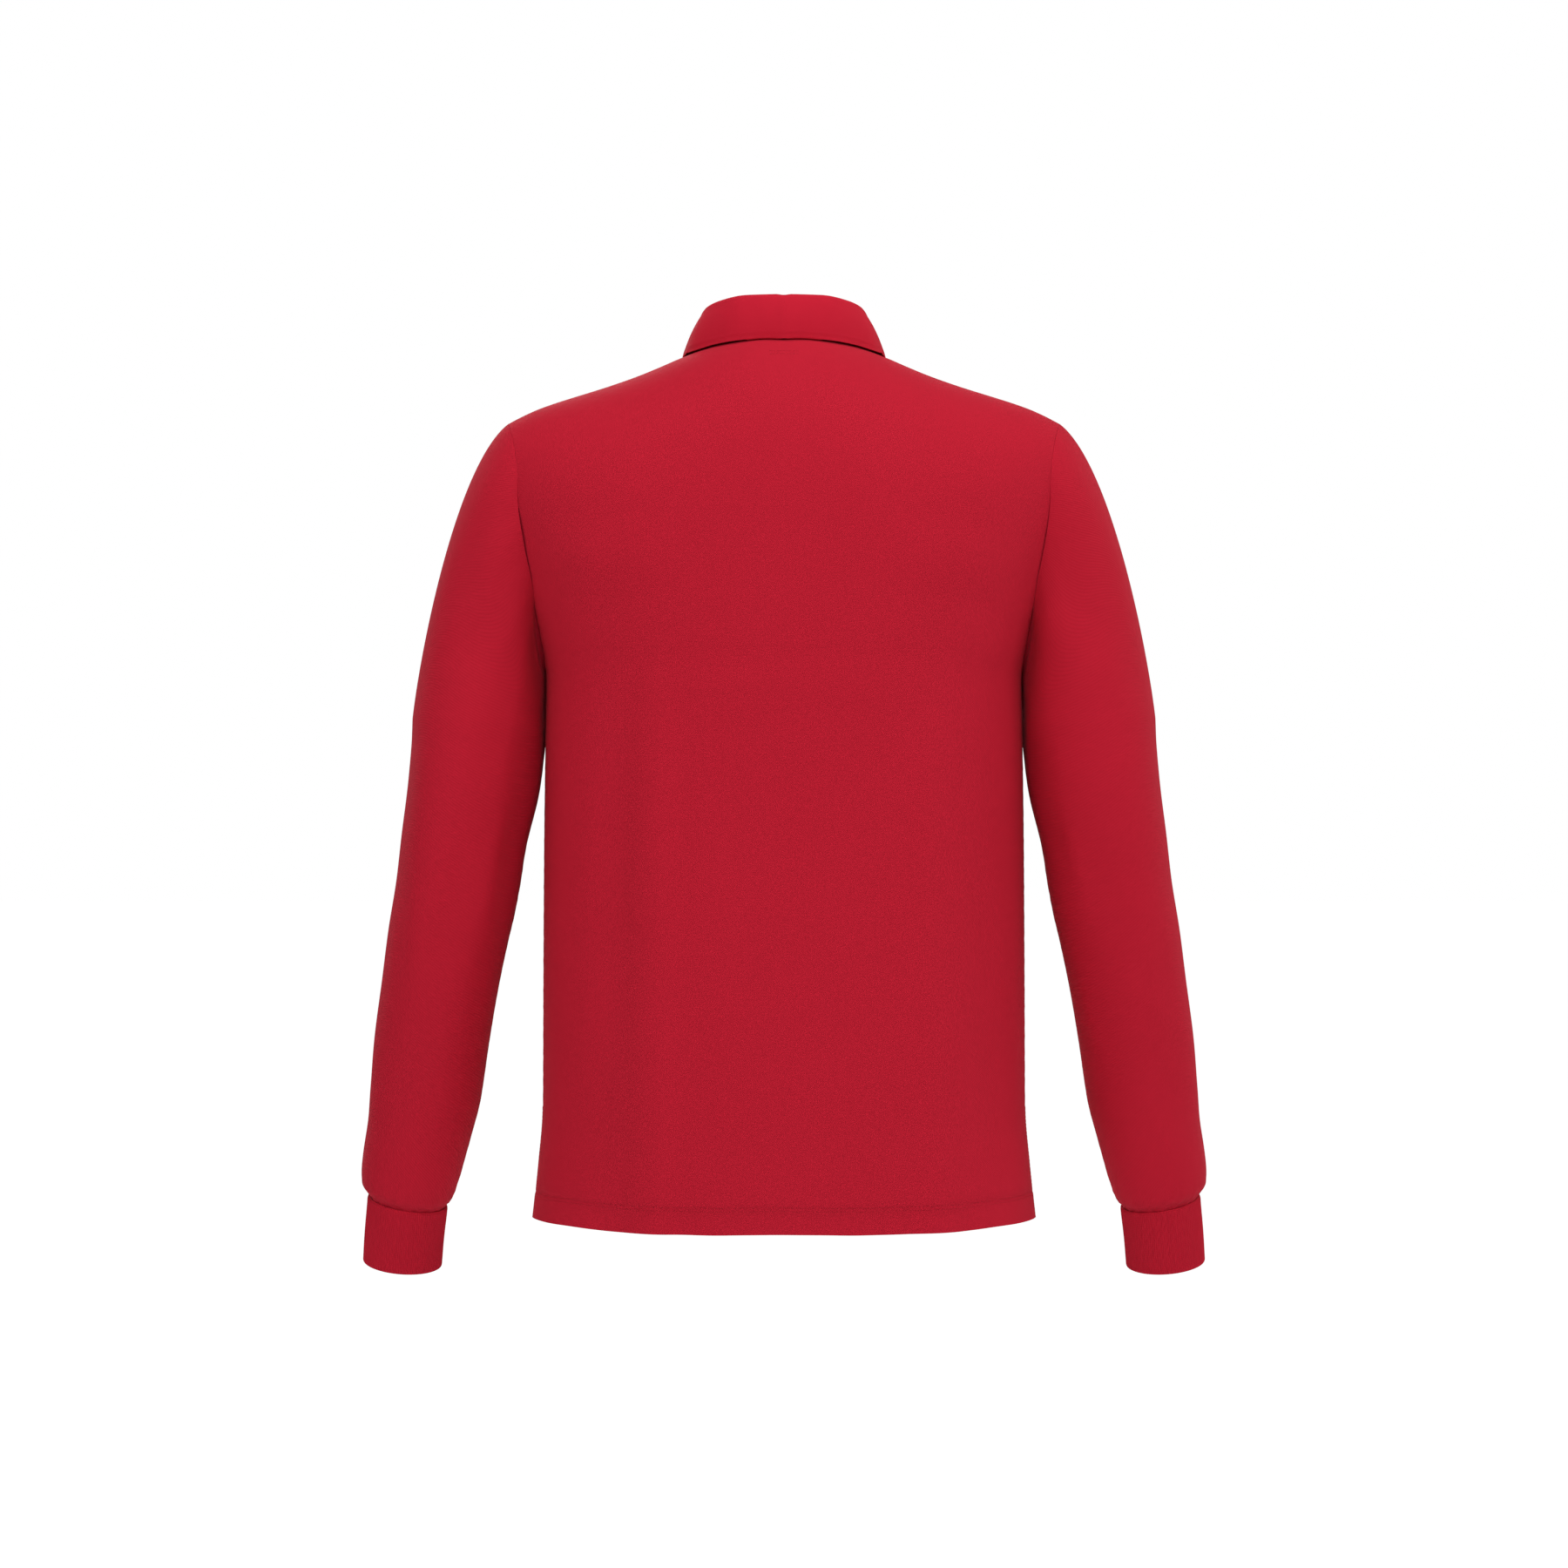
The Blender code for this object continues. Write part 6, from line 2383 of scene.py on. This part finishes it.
@dataclass(frozen=True)
class Studio:
    """The photograph's viewpoint, a plain pale floor and plain soft light."""

    camera_distance: float = 2.8
    camera_z: float = -0.3465
    lens: float = 80.0
    sensor: float = 36.0
    clip: tuple[float, float] = (0.05, 200.0)
    floor_z: float = -1.45
    floor_size: float = 60.0
    floor_glow: float = 0.97
    floor_roughness: float = 0.9
    floor_tones: tuple[Colour, Colour] = ((0.92, 0.92, 0.92, 1.0), (0.95, 0.95, 0.95, 1.0))
    white: Colour = (1.0, 1.0, 1.0, 1.0)
    seen_strength: float = 1.0
    ambient: float = 0.04
    lights: tuple[SoftLight, ...] = (
        SoftLight("key lamp", (0.0, 2.9, 1.35), (0.0, 0.0, -0.30), 1.5, 42.8),
        SoftLight("top lamp", (0.0, 0.5, 2.3), (0.0, 0.0, -0.2), 1.4, 31.6),
        SoftLight("left side lamp", (2.5, 0.8, 0.5), (0.2, 0.0, -0.35), 1.3, 4.7),
        SoftLight("right side lamp", (-2.5, 0.8, 0.5), (-0.2, 0.0, -0.35), 1.3, 11.2),
        SoftLight("left back lamp", (2.0, 2.0, 0.6), (0.1, 0.0, -0.35), 1.3, 16.7),
        SoftLight("right back lamp", (-2.0, 2.0, 0.6), (-0.1, 0.0, -0.35), 1.3, 14.0),
        SoftLight("right rim lamp", (-2.4, -0.6, 0.3), (-0.2, 0.0, -0.35), 1.3, 13.0),
        SoftLight("front lamp", (0.45, -2.9, 1.35), (0.0, 0.0, -0.30), 1.5, 42.8),
        SoftLight("left front lamp", (2.0, -2.0, 0.6), (0.1, 0.0, -0.35), 1.3, 16.7),
        SoftLight("right front lamp", (-2.0, -2.0, 0.6), (-0.1, 0.0, -0.35), 1.3, 8.4),
    )

    def camera(self) -> None:
        """The camera, level and square on to the back, as the photograph is taken."""
        lens = bpy.data.cameras.new("photo camera")
        lens.lens, lens.sensor_width = self.lens, self.sensor
        lens.clip_start, lens.clip_end = self.clip
        made = linked("photo camera", lens)
        made.location = (0.0, self.camera_distance, self.camera_z)
        made.rotation_euler = (np.pi / 2, 0.0, np.pi)
        bpy.context.scene.camera = made

    def floor(self) -> None:
        """A wide plain floor."""
        half, z = self.floor_size / 2, self.floor_z
        corner_points = [(-half, -half, z), (half, -half, z), (half, half, z), (-half, half, z)]
        mesh = plain_mesh("studio floor", corner_points, [], [(0, 1, 2, 3)])
        material, nodes, shader = NodeBuilder.material("pale floor")
        grain = nodes.add("ShaderNodeTexNoise", None, {"Vector": nodes.places(), "Scale": 2.0}).outputs["Fac"]
        seen = nodes.add("ShaderNodeLightPath").outputs["Is Camera Ray"]
        nodes.fill(shader, {
            "Base Color": nodes.mix(grain, *self.floor_tones),
            "Roughness": self.floor_roughness,
            "Emission Color": self.white,
            "Emission Strength": nodes.math("MULTIPLY", seen, self.floor_glow),
        })
        mesh.materials.append(material)
        linked("studio_floor", mesh)

    def surroundings(self) -> None:
        """A white surround: bright where the camera sees it, softer as light on the shirt."""
        world = bpy.data.worlds.new("white studio")
        world.use_nodes = True
        bpy.context.scene.world = world
        nodes = NodeBuilder(world.node_tree)
        seen = nodes.add("ShaderNodeLightPath").outputs["Is Camera Ray"]
        strength = nodes.math("MULTIPLY_ADD", seen, self.seen_strength - self.ambient, self.ambient)
        nodes.fill(world.node_tree.nodes["Background"], {"Color": self.white, "Strength": strength})

    def build(self) -> None:
        """Sets up the whole studio, with colours shown as they are."""
        bpy.context.scene.view_settings.view_transform = "Standard"
        self.camera()
        self.floor()
        self.surroundings()
        for light in self.lights:
            light.build()


def main() -> None:
    """Builds and dresses every sub-assembly, then the studio."""
    logging.basicConfig(level=logging.INFO, format="%(name)s %(message)s")
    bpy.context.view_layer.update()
    mottle = yarn_mottle()
    # Each knit finish names its weave's mask for painted shade in the pits or grooves.
    pique = KnitFinish("red pique", knit_lattice, {"Cell Width": 0.0016, "Cell Height": 0.0019}, "Pit Shade", 0.00022, 0.55)
    rib = KnitFinish("red rib knit", knit_rows, {"Wale": 0.0012, "Course": 0.0009}, "Groove Shade", 0.00010, 0.35)
    lighter = Dye((0.540, 0.0103, 0.0295, 1.0), (0.382, 0.0066, 0.0193, 1.0), (0.580, 0.0120, 0.0335, 1.0))
    flat_knit = KnitFinish(
        "red flat knit", knit_rows, {"Wale": 0.0013, "Course": 0.0011}, "Groove Shade", 0.00016, 0.5, lighter
    )
    cloth, ribbed, knit = (finish.build(mottle) for finish in (pique, rib, flat_knit))
    thread, resin = ThreadFinish().build(), ResinFinish().build()

    body = Body()
    smooth, sewn = body.panels()
    sleeves = Sleeves(body.form)
    tubes = sleeves.cloths(smooth, body.armhole_rows())
    collar = Collar(body.form)
    placket = Placket(body)
    under, upper = placket.cloths(smooth[Side.FRONT])

    body.dress(sewn, cloth)
    sleeves.dress(tubes, cloth)
    Cuffs(sleeves).dress(ribbed)
    collar.dress(collar.cloth({side: smooth[side].points[-1] for side in Side}), knit)
    placket.dress(under, upper, cloth)
    seats = Buttons(upper).dress(resin)
    Seams(body, sewn, upper, tubes, seats).dress(thread)
    Studio().build()


if __name__ == "__main__":
    main()
